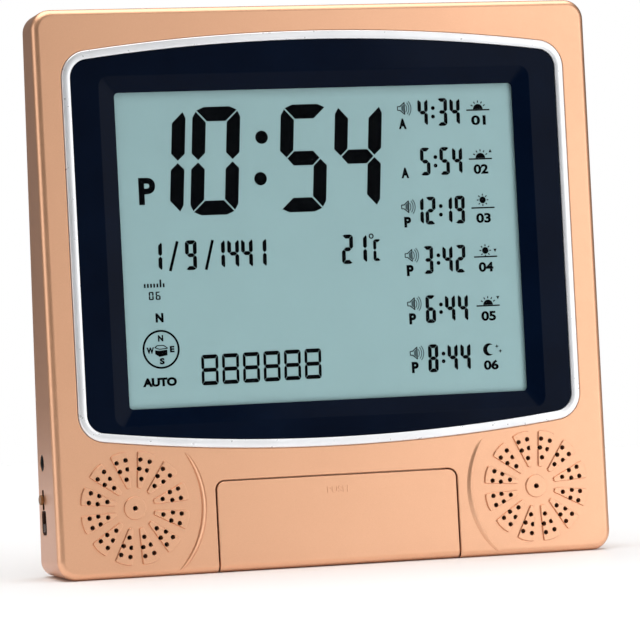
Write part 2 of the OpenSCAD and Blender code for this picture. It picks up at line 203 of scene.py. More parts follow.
def smooth(o, angle=38, weighted=True):
    bm = bmesh.new()
    bm.from_mesh(o.data)
    bm.normal_update()
    lim = math.radians(angle)
    for f in bm.faces:
        f.smooth = True
    for e in bm.edges:
        e.smooth = not (len(e.link_faces) == 2 and e.calc_face_angle(0.0) > lim)
    bm.to_mesh(o.data)
    bm.free()
    if weighted:
        w = o.modifiers.new("normals", "WEIGHTED_NORMAL")
        w.mode, w.weight, w.keep_sharp = "FACE_AREA", 50, True
    return o


def finish_piece(o, mat, body, replaces=(), frame_m=FACE, angle=38, weighted=True):
    """Millimetres to the row frame, then normals, finish and body."""
    if frame_m is not None:
        transform(o, frame_m)
    smooth(o, angle, weighted)
    o.data.materials.clear()
    for m in (mat if isinstance(mat, (list, tuple)) else [mat]):
        o.data.materials.append(m)
    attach(o, body)
    if replaces:
        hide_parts(*replaces)
    return o


# ------------------------------------------------------------------ outlines
def arc(cx, cz, r, a0, a1, n):
    return [(cx + r * math.cos(math.radians(a0 + (a1 - a0) * i / n)),
             cz + r * math.sin(math.radians(a0 + (a1 - a0) * i / n))) for i in range(n + 1)]


def rrect(cx, cz, w, h, r, n=6):
    x, z = w / 2 - r, h / 2 - r
    return (arc(cx + x, cz + z, r, 0, 90, n) + arc(cx - x, cz + z, r, 90, 180, n)
            + arc(cx - x, cz - z, r, 180, 270, n) + arc(cx + x, cz - z, r, 270, 360, n))


def circle(cx, cz, r, n=32):
    return [(cx + r * math.cos(2 * math.pi * i / n), cz + r * math.sin(2 * math.pi * i / n)) for i in range(n)]


def bow(o, n=12, m=48):
    """The ring's outline, moved inwards by o: two long arcs and four corners."""
    R, r, half = 717.0 - o, 10.0 - o, 97.3
    zt, zb, cx = 195.7 - 717.0, 43.9 + 717.0, half - 10.0
    dz = math.sqrt((717.0 - 10.0) ** 2 - cx * cx)
    dl = math.degrees(math.asin(cx / (717.0 - 10.0)))
    p = arc(cx, zb - dz, r, -90 + dl, 0, n) + arc(cx, zt + dz, r, 0, 90 - dl, n)
    p += arc(0, zt, R, 90 - dl, 90 + dl, m)[1:-1]
    p += arc(-cx, zt + dz, r, 90 + dl, 180, n) + arc(-cx, zb - dz, r, 180, 270 - dl, n)
    p += arc(0, zb, R, 270 - dl, 270 + dl, m)[1:-1]
    return p


def inset_corners(pts, r):
    """Corner centres of a convex outline (anticlockwise) with its corners rounded to r, and the edge normals."""
    n = len(pts)
    norm = []
    for i in range(n):
        (x0, z0), (x1, z1) = pts[i], pts[(i + 1) % n]
        l = math.hypot(x1 - x0, z1 - z0)
        norm.append(((z1 - z0) / l, -(x1 - x0) / l))
    out = []
    for i in range(n):
        (ax, az), (bx, bz) = norm[i - 1], norm[i]
        k = 1 + ax * bx + az * bz
        out.append((pts[i][0] - r * (ax + bx) / k, pts[i][1] - r * (az + bz) / k))
    return out, norm


def round_outline(centres, norm, r, n=5):
    pts = []
    for i, (cx, cz) in enumerate(centres):
        a0 = math.atan2(norm[i - 1][1], norm[i - 1][0])
        a1 = math.atan2(norm[i][1], norm[i][0])
        while a1 < a0:
            a1 += 2 * math.pi
        for k in range(n + 1):
            a = a0 + (a1 - a0) * k / n
            pts.append((cx + r * math.cos(a), cz + r * math.sin(a)))
    return pts


def at_depth(pts, d):
    return [(x, d, z) for x, z in pts]


def prism(name, pts, a, b):
    return solid(name, [at_depth(pts, a), at_depth(pts, b)])


def prism_up(name, pts, a, b):
    """A prism along the upright y axis, given in upright millimetres, as face-frame geometry."""
    return transform(prism(name, pts, a, b), UP_TO_FACE)


def lathe(name, cx, cz, prof, n=32):
    """A closed turned solid about the depth axis; prof is (radius, depth) from one end to the other."""
    return solid(name, [at_depth(circle(cx, cz, r, n), d) for r, d in prof])


def box(name, x0, x1, d0, d1, z0, z1):
    return prism(name, [(x0, z0), (x1, z0), (x1, z1), (x0, z1)], d0, d1)


def quarter(n, a0=0.0, a1=90.0):
    return [math.radians(a0 + (a1 - a0) * i / n) for i in range(n + 1)]


# ------------------------------------------------------------------ materials
def srgb(r, g, b):
    def f(c):
        c = c / 255.0
        return c / 12.92 if c <= 0.04045 else ((c + 0.055) / 1.055) ** 2.4
    return (f(r), f(g), f(b), 1.0)


class Mat:
    """A small builder for node materials whose colour, roughness and bump come from noise in object space."""

    def __init__(self, name):
        self.m = bpy.data.materials.new(name)
        self.m.use_nodes = True
        self.nt = self.m.node_tree
        self.bsdf = self.nt.nodes["Principled BSDF"]
        self.co = self.nt.nodes.new("ShaderNodeTexCoord")

    def n(self, kind, **k):
        x = self.nt.nodes.new(kind)
        for a, v in k.items():
            setattr(x, a, v)
        return x

    def link(self, a, b):
        self.nt.links.new(a, b)

    def noise(self, scale, detail=3.0, rough=0.55, stretch=(1, 1, 1), dist=0.0):
        mp = self.n("ShaderNodeMapping")
        mp.inputs["Scale"].default_value = stretch
        self.link(self.co.outputs["Object"], mp.inputs["Vector"])
        t = self.n("ShaderNodeTexNoise")
        t.inputs["Scale"].default_value = scale
        t.inputs["Detail"].default_value = detail
        t.inputs["Roughness"].default_value = rough
        t.inputs["Distortion"].default_value = dist
        self.link(mp.outputs["Vector"], t.inputs["Vector"])
        return t.outputs["Fac"]

    def ramp(self, fac, stops):
        r = self.n("ShaderNodeValToRGB")
        e = r.color_ramp.elements
        while len(e) < len(stops):
            e.new(0.5)
        for el, (p, c) in zip(e, stops):
            el.position, el.color = p, c
        self.link(fac, r.inputs["Fac"])
        return r.outputs["Color"]

    def remap(self, fac, lo, hi, a, b):
        r = self.n("ShaderNodeMapRange")
        r.inputs["From Min"].default_value, r.inputs["From Max"].default_value = lo, hi
        r.inputs["To Min"].default_value, r.inputs["To Max"].default_value = a, b
        self.link(fac, r.inputs["Value"])
        return r.outputs["Result"]

    def colour(self, fac, c0, c1, lo=0.35, hi=0.65):
        self.link(self.ramp(fac, [(lo, c0), (hi, c1)]), self.bsdf.inputs["Base Color"])
        return self

    def roughness(self, fac, a, b, lo=0.3, hi=0.7):
        self.link(self.remap(fac, lo, hi, a, b), self.bsdf.inputs["Roughness"])
        return self

    def bump(self, fac, strength, distance):
        b = self.n("ShaderNodeBump")
        b.inputs["Strength"].default_value = strength
        b.inputs["Distance"].default_value = distance
        self.link(fac, b.inputs["Height"])
        self.link(b.outputs["Normal"], self.bsdf.inputs["Normal"])
        return self

    def set(self, **k):
        for a, v in k.items():
            self.bsdf.inputs[a.replace("_", " ")].default_value = v
        return self


def plastic(name, c, spread=0.06, rough=(0.4, 0.5), grain=2600, strength=0.12, depth=0.00003, **k):
    """Moulded plastic: slight mottling and a fine spark-eroded grain."""
    a = Mat(name)
    lo = tuple(x * (1 - spread) for x in c[:3]) + (1,)
    hi = tuple(min(1, x * (1 + spread)) for x in c[:3]) + (1,)
    a.colour(a.noise(60, 4), lo, hi)
    g = a.noise(grain, 2, 0.6)
    a.roughness(a.noise(140, 3), *rough)
    a.bump(g, strength, depth)
    a.set(**k)
    return a.m


def metal(name, c, rough=(0.22, 0.36), stretch=(1, 1, 1), grain=900, strength=0.1, depth=0.00002, spread=0.05):
    a = Mat(name)
    lo = tuple(x * (1 - spread) for x in c[:3]) + (1,)
    hi = tuple(min(1, x * (1 + spread)) for x in c[:3]) + (1,)
    a.colour(a.noise(90, 4, stretch=stretch), lo, hi)
    a.roughness(a.noise(260, 3, stretch=stretch), *rough)
    a.bump(a.noise(grain, 2, stretch=stretch), strength, depth)
    a.set(Metallic=1.0)
    return a.m


def make_case_paint():
    """Satin rose-gold paint: a warm base under fine metal flake, with a faint orange peel."""
    a = Mat("case_paint")
    flake = a.noise(5200, 1.5, 0.7)
    broad = a.noise(9, 3)
    mix = a.n("ShaderNodeMath", operation="MULTIPLY_ADD")
    a.link(flake, mix.inputs[0])
    mix.inputs[1].default_value = 0.55
    sc = a.n("ShaderNodeMath", operation="MULTIPLY")
    a.link(broad, sc.inputs[0])
    sc.inputs[1].default_value = 0.45
    a.link(sc.outputs[0], mix.inputs[2])
    a.colour(mix.outputs[0], PAINT_LO, PAINT_HI, 0.3, 0.7)
    a.roughness(a.noise(420, 3), 0.36, 0.41)
    a.bump(a.noise(1500, 2, 0.5), 0.10, 0.00002)
    a.set(Metallic=0.88, Coat_Weight=0.8, Coat_Roughness=0.30, Coat_IOR=1.75, Specular_Tint=(0.5, 0.38, 0.36, 1))
    return a.m


PAINT_LO = (0.76, 0.384, 0.210, 1)
PAINT_HI = (0.88, 0.474, 0.272, 1)

M = {}
M["case_paint"] = make_case_paint()
M["rear_paint"] = plastic("rear_paint", (0.66, 0.37, 0.24, 1), 0.025, (0.38, 0.5), 1900, 0.25, 0.00003, Metallic=0.45)


def make_ring():
    a = Mat("bright_ring")
    a.colour(a.noise(40, 3), (0.80, 0.81, 0.83, 1), (0.88, 0.89, 0.91, 1))
    a.roughness(a.noise(500, 3), 0.27, 0.34)
    a.bump(a.noise(2400, 2), 0.06, 0.00001)
    a.set(Metallic=0.55)
    return a.m


M["bright_ring"] = make_ring()


def make_bezel():
    a = Mat("bezel_black")
    a.colour(a.noise(30, 3), (0.0007, 0.0032, 0.0115, 1), (0.0012, 0.0048, 0.0160, 1))
    a.roughness(a.noise(300, 4, 0.6), 0.10, 0.16)
    a.bump(a.noise(700, 2), 0.02, 0.00001)
    a.set(Specular_IOR_Level=0.045)
    return a.m


M["bezel_black"] = make_bezel()


def make_lens():
    """Clear acrylic: seen through, with a weak gloss that follows the angle."""
    m = bpy.data.materials.new("lens_clear")
    m.use_nodes = True
    nt = m.node_tree
    nt.nodes.clear()
    out = nt.nodes.new("ShaderNodeOutputMaterial")
    mix = nt.nodes.new("ShaderNodeMixShader")
    tr = nt.nodes.new("ShaderNodeBsdfTransparent")
    gl = nt.nodes.new("ShaderNodeBsdfGlossy")
    fr = nt.nodes.new("ShaderNodeFresnel")
    co = nt.nodes.new("ShaderNodeTexCoord")
    no = nt.nodes.new("ShaderNodeTexNoise")
    rr = nt.nodes.new("ShaderNodeMapRange")
    tr.inputs["Color"].default_value = (0.985, 0.99, 0.99, 1)
    gl.inputs["Color"].default_value = (0.9, 0.95, 1.0, 1)
    no.inputs["Scale"].default_value = 260
    rr.inputs["To Min"].default_value, rr.inputs["To Max"].default_value = 0.05, 0.11
    fr.inputs["IOR"].default_value = 1.06
    nt.links.new(co.outputs["Object"], no.inputs["Vector"])
    nt.links.new(no.outputs["Fac"], rr.inputs["Value"])
    nt.links.new(rr.outputs["Result"], gl.inputs["Roughness"])
    nt.links.new(fr.outputs["Fac"], mix.inputs["Fac"])
    nt.links.new(tr.outputs[0], mix.inputs[1])
    nt.links.new(gl.outputs[0], mix.inputs[2])
    nt.links.new(mix.outputs[0], out.inputs["Surface"])
    return m


M["lens_clear"] = make_lens()
M["lcd"] = plastic("lcd", (0.372, 0.560, 0.578, 1), 0.012, (0.42, 0.5), 1800, 0.02, 0.00001, Specular_IOR_Level=0.25)
M["lcd_ink"] = plastic("lcd_ink", (0.0008, 0.0014, 0.0022, 1), 0.2, (0.45, 0.55), 1800, 0.03, 0.00001, Specular_IOR_Level=0.02)
M["lcd_grey"] = plastic("lcd_grey", (0.075, 0.125, 0.135, 1), 0.1, (0.45, 0.55), 1800, 0.03, 0.00001, Specular_IOR_Level=0.2)
M["diffuser"] = plastic("diffuser", (0.82, 0.85, 0.83, 1), 0.02, (0.5, 0.6), 900, 0.05)
M["elastomer"] = plastic("elastomer", (0.05, 0.055, 0.065, 1), 0.15, (0.55, 0.7), 1500, 0.2)
M["circuit_board"] = plastic("circuit_board", (0.015, 0.14, 0.045, 1), 0.18, (0.3, 0.42), 1200, 0.15)
M["component_black"] = plastic("component_black", (0.012, 0.012, 0.014, 1), 0.2, (0.4, 0.55), 2000, 0.2)
M["component_blue"] = plastic("component_blue", (0.03, 0.06, 0.2, 1), 0.1, (0.25, 0.35), 1600, 0.08)
M["key_grey"] = plastic("key_grey", (0.56, 0.57, 0.60, 1), 0.03, (0.5, 0.6), 2400, 0.25)
M["key_print"] = plastic("key_print", (0.04, 0.04, 0.05, 1), 0.1, (0.5, 0.6), 2400, 0.1)
M["screw_steel"] = metal("screw_steel", (0.56, 0.57, 0.6, 1), (0.25, 0.4))
M["foam"] = plastic("foam", (0.035, 0.035, 0.038, 1), 0.3, (0.85, 0.95), 700, 0.7, 0.0002)
M["basket_steel"] = metal("basket_steel", (0.42, 0.43, 0.46, 1), (0.35, 0.5))
M["cone"] = plastic("cone", (0.018, 0.017, 0.017, 1), 0.3, (0.75, 0.9), 800, 0.5, 0.0001)
M["magnet"] = plastic("magnet", (0.03, 0.03, 0.034, 1), 0.25, (0.5, 0.7), 500, 0.4, 0.0001)
M["contact_pin"] = metal("contact_pin", (0.75, 0.58, 0.25, 1), (0.2, 0.3))
M["knob_bronze"] = plastic("knob_bronze", (0.26, 0.115, 0.035, 1), 0.12, (0.34, 0.45), 1800, 0.15, Metallic=0.35)
# dark matte brown: painted shade for the inside of the side slot and the switch pocket
M["slot_painted_shade"] = plastic("slot_painted_shade", (0.046, 0.022, 0.016, 1), 0.12, (0.7, 0.85), 1800, 0.2, Specular_IOR_Level=0.04)
M["knob_dark"] = plastic("knob_dark", (0.055, 0.026, 0.018, 1), 0.12, (0.42, 0.55), 1800, 0.2)
M["cell_sleeve"] = plastic("cell_sleeve", (0.045, 0.09, 0.16, 1), 0.12, (0.22, 0.3), 500, 0.04)
M["spring_steel"] = metal("spring_steel", (0.66, 0.66, 0.68, 1), (0.18, 0.28))
M["pad_rubber"] = plastic("pad_rubber", (0.018, 0.018, 0.018, 1), 0.2, (0.75, 0.88), 1400, 0.4, 0.00006)


# ------------------------------------------------------------------ front housing
LIP = 0.35
FIL = [math.degrees(0) + (90 + math.degrees(L)) * i / 12 for i in range(13)]


def case_blank():
    cols = []
    for cx, cz, a0 in ((HALF_W - CORNER_R, FACE_H - CORNER_R, 0), (-(HALF_W - CORNER_R), FACE_H - CORNER_R, 90),
                       (-(HALF_W - CORNER_R), CORNER_R, 180), (HALF_W - CORNER_R, CORNER_R, 270)):
        for i in range(13):
            a = math.radians(a0 + 90 * i / 12)
            cols.append((cx, cz, math.cos(a), math.sin(a)))
    rings = []
    for p in FIL:
        p = math.radians(p)
        rings.append([(cx + nx * (CORNER_R - EDGE_A + EDGE_R * math.sin(p)), EDGE_R - EDGE_R * math.cos(p),
                       cz + nz * (CORNER_R - EDGE_A + EDGE_R * math.sin(p))) for cx, cz, nx, nz in cols])
    back = []
    for cx, cz, nx, nz in cols:
        d = (YB - YF - (cz + nz * CORNER_R) * SL) / (CL - nz * TL * SL)
        back.append((cx + nx * (CORNER_R - d * TL), d, cz + nz * (CORNER_R - d * TL)))
    rings.append(back)
    return solid("front_shell", rings)


def seat_cutter():
    rows = [(-0.15 - LIP, -3.0)]
    rows += [(-0.15 - LIP + LIP * math.sin(t), LIP - LIP * math.cos(t)) for t in quarter(5)]
    rows += [(-0.15, 1.0)]
    return solid("seat", [at_depth(bow(o), d) for o, d in rows])


def flap_cutters():
    out = []
    rows = [(LIP, -3.0)] + [(LIP - LIP * math.sin(t), LIP - LIP * math.cos(t)) for t in quarter(5)] + [(0.0, PAN_D)]

    def outline(e):
        x, r = FLAP_X + e, 3.5 + e
        top = FLAP_TOP + e
        return ([(x, 5.0)] + arc(x - r, top - r, r, 0, 90, 8) + arc(-x + r, top - r, r, 90, 180, 8) + [(-x, 5.0)])

    out.append(solid("flap_cut", [at_depth(outline(e), d) for e, d in rows]))
    out.append(box("flap_cut_low", -FLAP_X, FLAP_X, -3.0, PAN_D, -8.0, 5.05))

    def section(s):
        p = [(5.05, -3.0), (5.05, s)]
        for a in FIL:
            a = math.radians(a)
            p.append((EDGE_A - (EDGE_R - s) * math.sin(a), EDGE_R - (EDGE_R - s) * math.cos(a)))
        z1, d1 = p[-1]
        p.append((z1 + (PAN_D - d1) * TL, PAN_D))
        p += [(-8.0, PAN_D), (-8.0, -3.0)]
        return p

    for s in (-1, 1):
        steps = [(FLAP_X - 0.5, LIP)] + [(FLAP_X + LIP - LIP * math.sin(t), LIP - LIP * math.cos(t)) for t in quarter(5)[::-1]]
        steps = steps[:-1] + [(FLAP_X + LIP, 0.0)]
        rings = [[(s * x, d, z) for z, d in section(q)] for x, q in steps]
        out.append(solid("flap_lip", rings))
    return out


PETAL = [(-0.8, 7.35), (-3.4, 20.2), (-1.2, 20.65), (1.2, 20.65), (3.4, 20.2), (0.8, 7.35)][::-1]


def petal_shapes():
    """Twelve raised petals round a grille centre at the origin."""
    c, nn = inset_corners(PETAL, 0.6)
    rows = [(0.08, 0.5), (0.08, 0.0), (0.05, -0.02), (0.03, -0.06), (-0.1, -0.59), (-0.13, -0.65), (-0.18, -0.69), (-0.25, -0.71), (-0.34, -0.715)]
    out = []
    for i in range(12):
        a = math.radians(15 + i * 30)
        rot = lambda x, z: (x * math.cos(a) - z * math.sin(a), x * math.sin(a) + z * math.cos(a))
        rings = [at_depth([rot(x, z) for x, z in round_outline(c, nn, 0.6 + o)], d) for o, d in rows]
        out.append(solid("petal", rings))
    hub = [(4.25, 0.5), (4.25, 0.0), (4.21, -0.02), (4.19, -0.06), (4.08, -0.52), (4.05, -0.58), (4.0, -0.62), (3.92, -0.645), (3.8, -0.65)]
    out.append(lathe("hub", 0, 0, hub, 48))
    return out


def grille_hole_cutters():
    out = []
    prof = [(1.0, -1.5), (1.0, -0.74), (0.89, -0.7), (0.84, -0.63), (0.82, -0.5), (0.82, 4.5)]
    for i in range(12):
        a0 = 15 + i * 30
        for r, da in ((10.78, 0), (14.26, -5.98), (14.26, 5.98), (17.57, -5.8), (17.57, 5.8)):
            a = math.radians(a0 + da)
            out.append(lathe("h", r * math.sin(a), r * math.cos(a), prof, 18))
    out.append(lathe("h", 0, 0, [(1.08, -1.5), (1.08, -0.64), (0.97, -0.6), (0.9, -0.53), (0.88, -0.42), (0.88, 4.5)], 20))
    return out


def fillet_depth(z):
    q = min(1.0, max(0.0, (EDGE_A - z) / EDGE_R))
    return EDGE_R * (1 - math.sqrt(1 - q * q))


RIDGE = [(1.0, 0.0), (0.97, 0.06), (0.86, 0.36), (0.72, 0.66), (0.57, 0.87), (0.42, 0.97), (0.28, 1.0), (0.18, 0.975), (0.12, 0.9), (0.09, 0.78), (0.02, 0.07), (0.0, 0.0)]


def crescent_solid():
    """A raised ridge beside the grille: a steep inner wall, a rounded top, narrowing to its ends."""
    n, cx, cz, ri = 56, 86.2, 25.5, 33.65
    rings = []
    for i in range(n + 1):
        u = i / n
        a = math.radians(146.3 + 78.2 * u)
        k = max(0.0, math.sin(math.pi * u)) ** 0.35
        w = max(0.2, 2.05 * k)
        h = 0.7 * min(1.0, max(0.12, 1.3 * k))
        # from the outer foot over the crest to the inner foot, as (share of the width, share of the height)
        ring = [(cx + (ri + w * q) * math.cos(a), -h * t, cz + (ri + w * q) * math.sin(a)) for q, t in RIDGE]
        ring.append((cx + ri * math.cos(a), 0.5, cz + ri * math.sin(a)))
        ring.append((cx + (ri + w) * math.cos(a), 0.5, cz + (ri + w) * math.sin(a)))
        # near the base the ridge follows the case's rounded lower edge
        rings.append([(x, d + fillet_depth(z), z) for x, d, z in ring])
    return solid("crescent", rings)


def side_frame(d0, z0):
    """A frame on the left side of the case: columns are along the depth, up, and into the case."""
    x0 = -HALF_W + d0 * TL
    return Matrix(((SL, 0, CL, x0), (CL, 0, -SL, d0), (0, 1, 0, z0), (0, 0, 0, 1)))


def side_cutter(name, ring_fn, d0, z0, depth, lip=0.25):
    """Cuts a hole with a rounded lip into the left side; ring_fn(o) is its outline about (0, 0), grown by o."""
    rows = [(lip, -2.5)] + [(lip - lip * math.sin(t), lip - lip * math.cos(t)) for t in quarter(4)] + [(0.0, depth)]
    rings = [[(u, v, w) for u, v in ring_fn(o)] for o, w in rows]
    return transform(solid(name, rings), side_frame(d0, z0))


def build_front_housing():
    o = case_blank()
    boolean(o, prism("cavity", rrect(0, (4.6 + 201.6) / 2, 206, 197.0, 5, 8), WALL, 60))
    boolean(o, prism_up("rabbet", rrect(0, 101.55, 208.4, 199.9, 4.5, 8), YC, YB + 6))
    boolean(o, box("pan", -49.5, 49.5, 1.0, 7.5, 3.0, FLAP_TOP + 1.8), "UNION")
    add = []
    for x, z in POSTS:
        add.append(lathe("post", x, z, [(2, 7.0), (2, 12.0)], 24))
    for s in (-1, 1):
        for a in EARS:
            a = math.radians(a)
            add.append(lathe("post", s * (GRILLE_X + EAR_R * math.cos(a)), GRILLE_Z + EAR_R * math.sin(a), [(2, 2.0), (2, 4.0)], 24))
    boolean(o, merge("posts", add), "UNION")
    for x, z in CASE_BOSSES:
        y0 = YF + z * TL + 1.2
        boolean(o, prism_up("boss", circle(x, z, 3.2, 28), y0, YC), "UNION")
    for s in (-1, 1):
        g = petal_shapes()
        for p in g:
            transform(p, Matrix.Translation((s * GRILLE_X, 0, GRILLE_Z)))
        boolean(o, merge("petals", g), "UNION")
        boolean(o, transform(crescent_solid(), Matrix.Diagonal((s, 1, 1, 1))), "UNION")
        h = grille_hole_cutters()
        for p in h:
            transform(p, Matrix.Translation((s * GRILLE_X, 0, GRILLE_Z)))
        boolean(o, merge("holes", h))
    boolean(o, seat_cutter())
    boolean(o, prism("opening", bow(1.5), 0.5, 7.0))
    for c in flap_cutters():
        boolean(o, c)
    boolean(o, merge("key_holes", [prism("k", rrect(x, KEY_Z, 9.6, 7.0, 1.8, 6), PAN_D - 2, 9.5) for x in KEYS_X]))
    boolean(o, merge("post_holes", [lathe("p", x, z, [(0.9, 8.0), (0.9, 13.0)], 20) for x, z in POSTS]))
    for s in (-1, 1):
        pin = lathe("pin", 0, 0, [(1.25, 0.0), (1.25, 3.0)], 24)
        # turn the depth axis to the x axis
        transform(pin, Matrix(((0, s, 0, s * (FLAP_X - 1)), (-s, 0, 0, AX_D), (0, 0, 1, AX_Z), (0, 0, 0, 1))))
        boolean(o, pin)
        seat = [(s * 78 - 12, -1), (s * 78 + 12, -1), (s * 78 + 12, 1), (s * 78 - 12, 1)]
        boolean(o, transform(prism("pad_seat", seat, -3, 5), UP_TO_FACE))
    for x, z in CASE_BOSSES:
        boolean(o, prism_up("bore", circle(x, z, 1.35, 20), YF + z * TL + 3.2, YC + 4))
    boolean(o, side_cutter("jack", lambda e: circle(0, 0, 3.1 + e, 40), JACK[0], JACK[1], 4.5, 0.12))
    boolean(o, side_cutter("slot", lambda e: rrect(0, 0, 3.0 + 2 * e, 7.3 + 2 * e, 0.5 + e, 5), SW_D, SW1_Z, 4.5, 0.08))
    boolean(o, side_cutter("pocket", lambda e: rrect(0, 0, 7.2 + 2 * e, 8.9 + 2 * e, 1.5 + e, 6), SW_D, 21.3, 1.25, 0.08))
    boolean(o, side_cutter("slot2", lambda e: rrect(0, 0, 2.4 + 2 * e, 6.5 + 2 * e, 0.5 + e, 5), SW_D, 21.45, 4.5, 0.02))
    tidy(o, 0.25, 2e-4)
    o.name = "front_shell"
    return finish_piece(o, M["case_paint"], "case", ("front_housing",), angle=40)


# ------------------------------------------------------------------ ring and bezel
def build_ring():
    sec = [(0.0, 1.0), (0.0, -0.12)]
    sec += [(0.55 - 0.55 * math.cos(t), -0.12 - 0.52 * math.sin(t)) for t in quarter(6)][1:]
    sec += [(0.95, -0.735), (1.5, -0.79), (2.05, -0.775), (2.5, -0.71)]
    sec += [(2.72 + 0.38 * math.sin(t), -0.28 - 0.38 * math.cos(t)) for t in quarter(6)]
    sec += [(3.1, 2.15), (1.65, 2.15), (1.65, 1.0)]
    rings = [at_depth(bow(a, 16, 64), d) for a, d in sec]
    o = solid("trim_ring_bright", rings, caps=(False, False), rows_closed=True)
    return finish_piece(o, M["bright_ring"], "case", ("trim_ring",), angle=42, weighted=False)


def window_ring(o):
    """The window outline grown by o, its corner growing from 1.5 to 4 mm across the slope."""
    t = max(0.0, min(1.0, o / 6.2))
    return rrect(0, WIN_Z, WIN_W + 2 * o, WIN_H + 2 * o, 1.5 + 2.5 * t + max(0.0, o - 6.2), 10)


def build_bezel():
    rows = [(3.2 + 0.25 - 0.25 * math.sin(t), 0.25 - 0.25 * math.cos(t)) for t in quarter(3)]
    o = solid("display_surround", [at_depth(bow(a, 16, 64), d) for a, d in rows + [(3.2, 2.4)]])
    boolean(o, prism("flange", bow(-1, 16, 64), 2.2, 4.2), "UNION")
    boolean(o, merge("bosses", [lathe("b", x, z, [(2.5, 4.0), (2.5, 9.4)], 28) for x, z in LCD_BOSSES]), "UNION")
    ang = math.atan(1.85 / 6.2)
    rho = 2.2
    lead = rho * math.tan(ang / 2)
    cut = [(6.2 + lead, -1.5)]
    for i in range(6):
        a = ang * i / 5
        cut.append((6.2 + lead - rho * math.sin(a), rho - rho * math.cos(a)))
    cut += [(0.32, 1.85 * (1 - 0.32 / 6.2))]
    cut += [(0.32 - 0.32 * math.sin(t) , 1.7545 + 0.26 * (1 - math.cos(t))) for t in quarter(3)][1:]
    cut += [(0.0, 2.6)]
    boolean(o, solid("slope", [at_depth(window_ring(a), d) for a, d in cut]))
    boolean(o, prism("lens_seat", rrect(0, WIN_Z, 160, 118.3, 0.6, 3), 2.2, 7))
    boolean(o, prism("lcd_seat", rrect(0, WIN_Z, 163.6, 122.1, 0.6, 3), 3.2, 7))
    boolean(o, merge("screw_holes", [lathe("b", x, z, [(0.9, 5.0), (0.9, 12.0)], 20) for x, z in LCD_BOSSES]))
    tidy(o, 0.2, 2e-4)
    return finish_piece(o, M["bezel_black"], "case", ("display_bezel",), angle=42)


# ------------------------------------------------------------------ flap and keys
def build_flap():
    top = FLAP_TOP - FLAP_GAP
    prof = [(top, 0.0), (AX_Z, 0.0)]
    for i in range(1, 37):
        p = math.radians(286.6 * i / 36)
        prof.append((AX_Z - 2.8 * math.sin(p), AX_D - 2.8 * math.cos(p)))
    prof.append((top, 2.0))
    x = FLAP_X - FLAP_GAP
    o = solid("flap", [[(-x, d, z) for z, d in prof], [(x, d, z) for z, d in prof]])
    r = 3.5 - FLAP_GAP
    out = [(-x, -6.0), (x, -6.0)] + arc(x - r, top - r, r, 0, 90, 10) + arc(-x + r, top - r, r, 90, 180, 10)
    boolean(o, prism("outline", out, -1, 8), "INTERSECT")
    tidy(o, 0.3, 1e-4)
    bevel(o, 0.32, 4, 50)
    boolean(o, lathe("thumb", 0, 22, [(5.0, 3.5), (5.0, 1.75), (4.85, 1.6), (4.6, 1.5)], 48))
    tongue = box("tongue", -3, 3, 1.5, 4.4, 28.5, 29.7)
    tidy(tongue)
    bevel(tongue, 0.2, 3, 50)
    boolean(o, tongue, "UNION")
    for s in (-1, 1):
        pin = lathe("pin", 0, 0, [(1.2, 0.0), (1.2, FLAP_GAP + 2.5), (1.1, FLAP_GAP + 2.6)], 24)
        transform(pin, Matrix(((0, s, 0, s * (x - 1)), (-s, 0, 0, AX_D), (0, 0, 1, AX_Z), (0, 0, 0, 1))))
        boolean(o, pin, "UNION")
    o.name = "key_flap"
    return finish_piece(o, M["case_paint"], "flap", ("flap_lid",), angle=40)


def text_mesh(body, size, cx, cz, width=None, bold=0.0, depth=(0.0, 0.1), round_=0.0):
    """Plain raised lettering as a mesh, centred at (cx, cz) on the face, its front at depth[0]."""
    c = bpy.data.curves.new("t", "FONT")
    c.body, c.size, c.align_x, c.align_y = body, size, "CENTER", "CENTER"
    c.offset = bold
    c.extrude = (depth[1] - depth[0]) / 2
    c.bevel_depth = round_
    c.bevel_resolution = 2 if round_ else 0
    c.resolution_u = 6
    o = bpy.data.objects.new("t", c)
    SCENE.collection.objects.link(o)
    bpy.context.view_layer.update()
    me = bpy.data.meshes.new_from_object(o.evaluated_get(bpy.context.evaluated_depsgraph_get()))
    bpy.data.objects.remove(o)
    bpy.data.curves.remove(c)
    xs = [v.co.x for v in me.vertices]
    ys = [v.co.y for v in me.vertices]
    w, h = max(xs) - min(xs), max(ys) - min(ys)
    mx, my = (max(xs) + min(xs)) / 2, (max(ys) + min(ys)) / 2
    kz = size / h
    kx = (width / w) if width else kz
    mid = (depth[0] + depth[1]) / 2
    for v in me.vertices:
        x, y, z = v.co
        v.co = (cx + (x - mx) * kx, mid - z, cz + (y - my) * kz)
    t = new_object("t", me)
    bm = bmesh.new()
    bm.from_mesh(me)
    bmesh.ops.remove_doubles(bm, verts=bm.verts, dist=1e-5)
    bmesh.ops.recalc_face_normals(bm, faces=bm.faces)
    bm.to_mesh(me)
    bm.free()
    return t


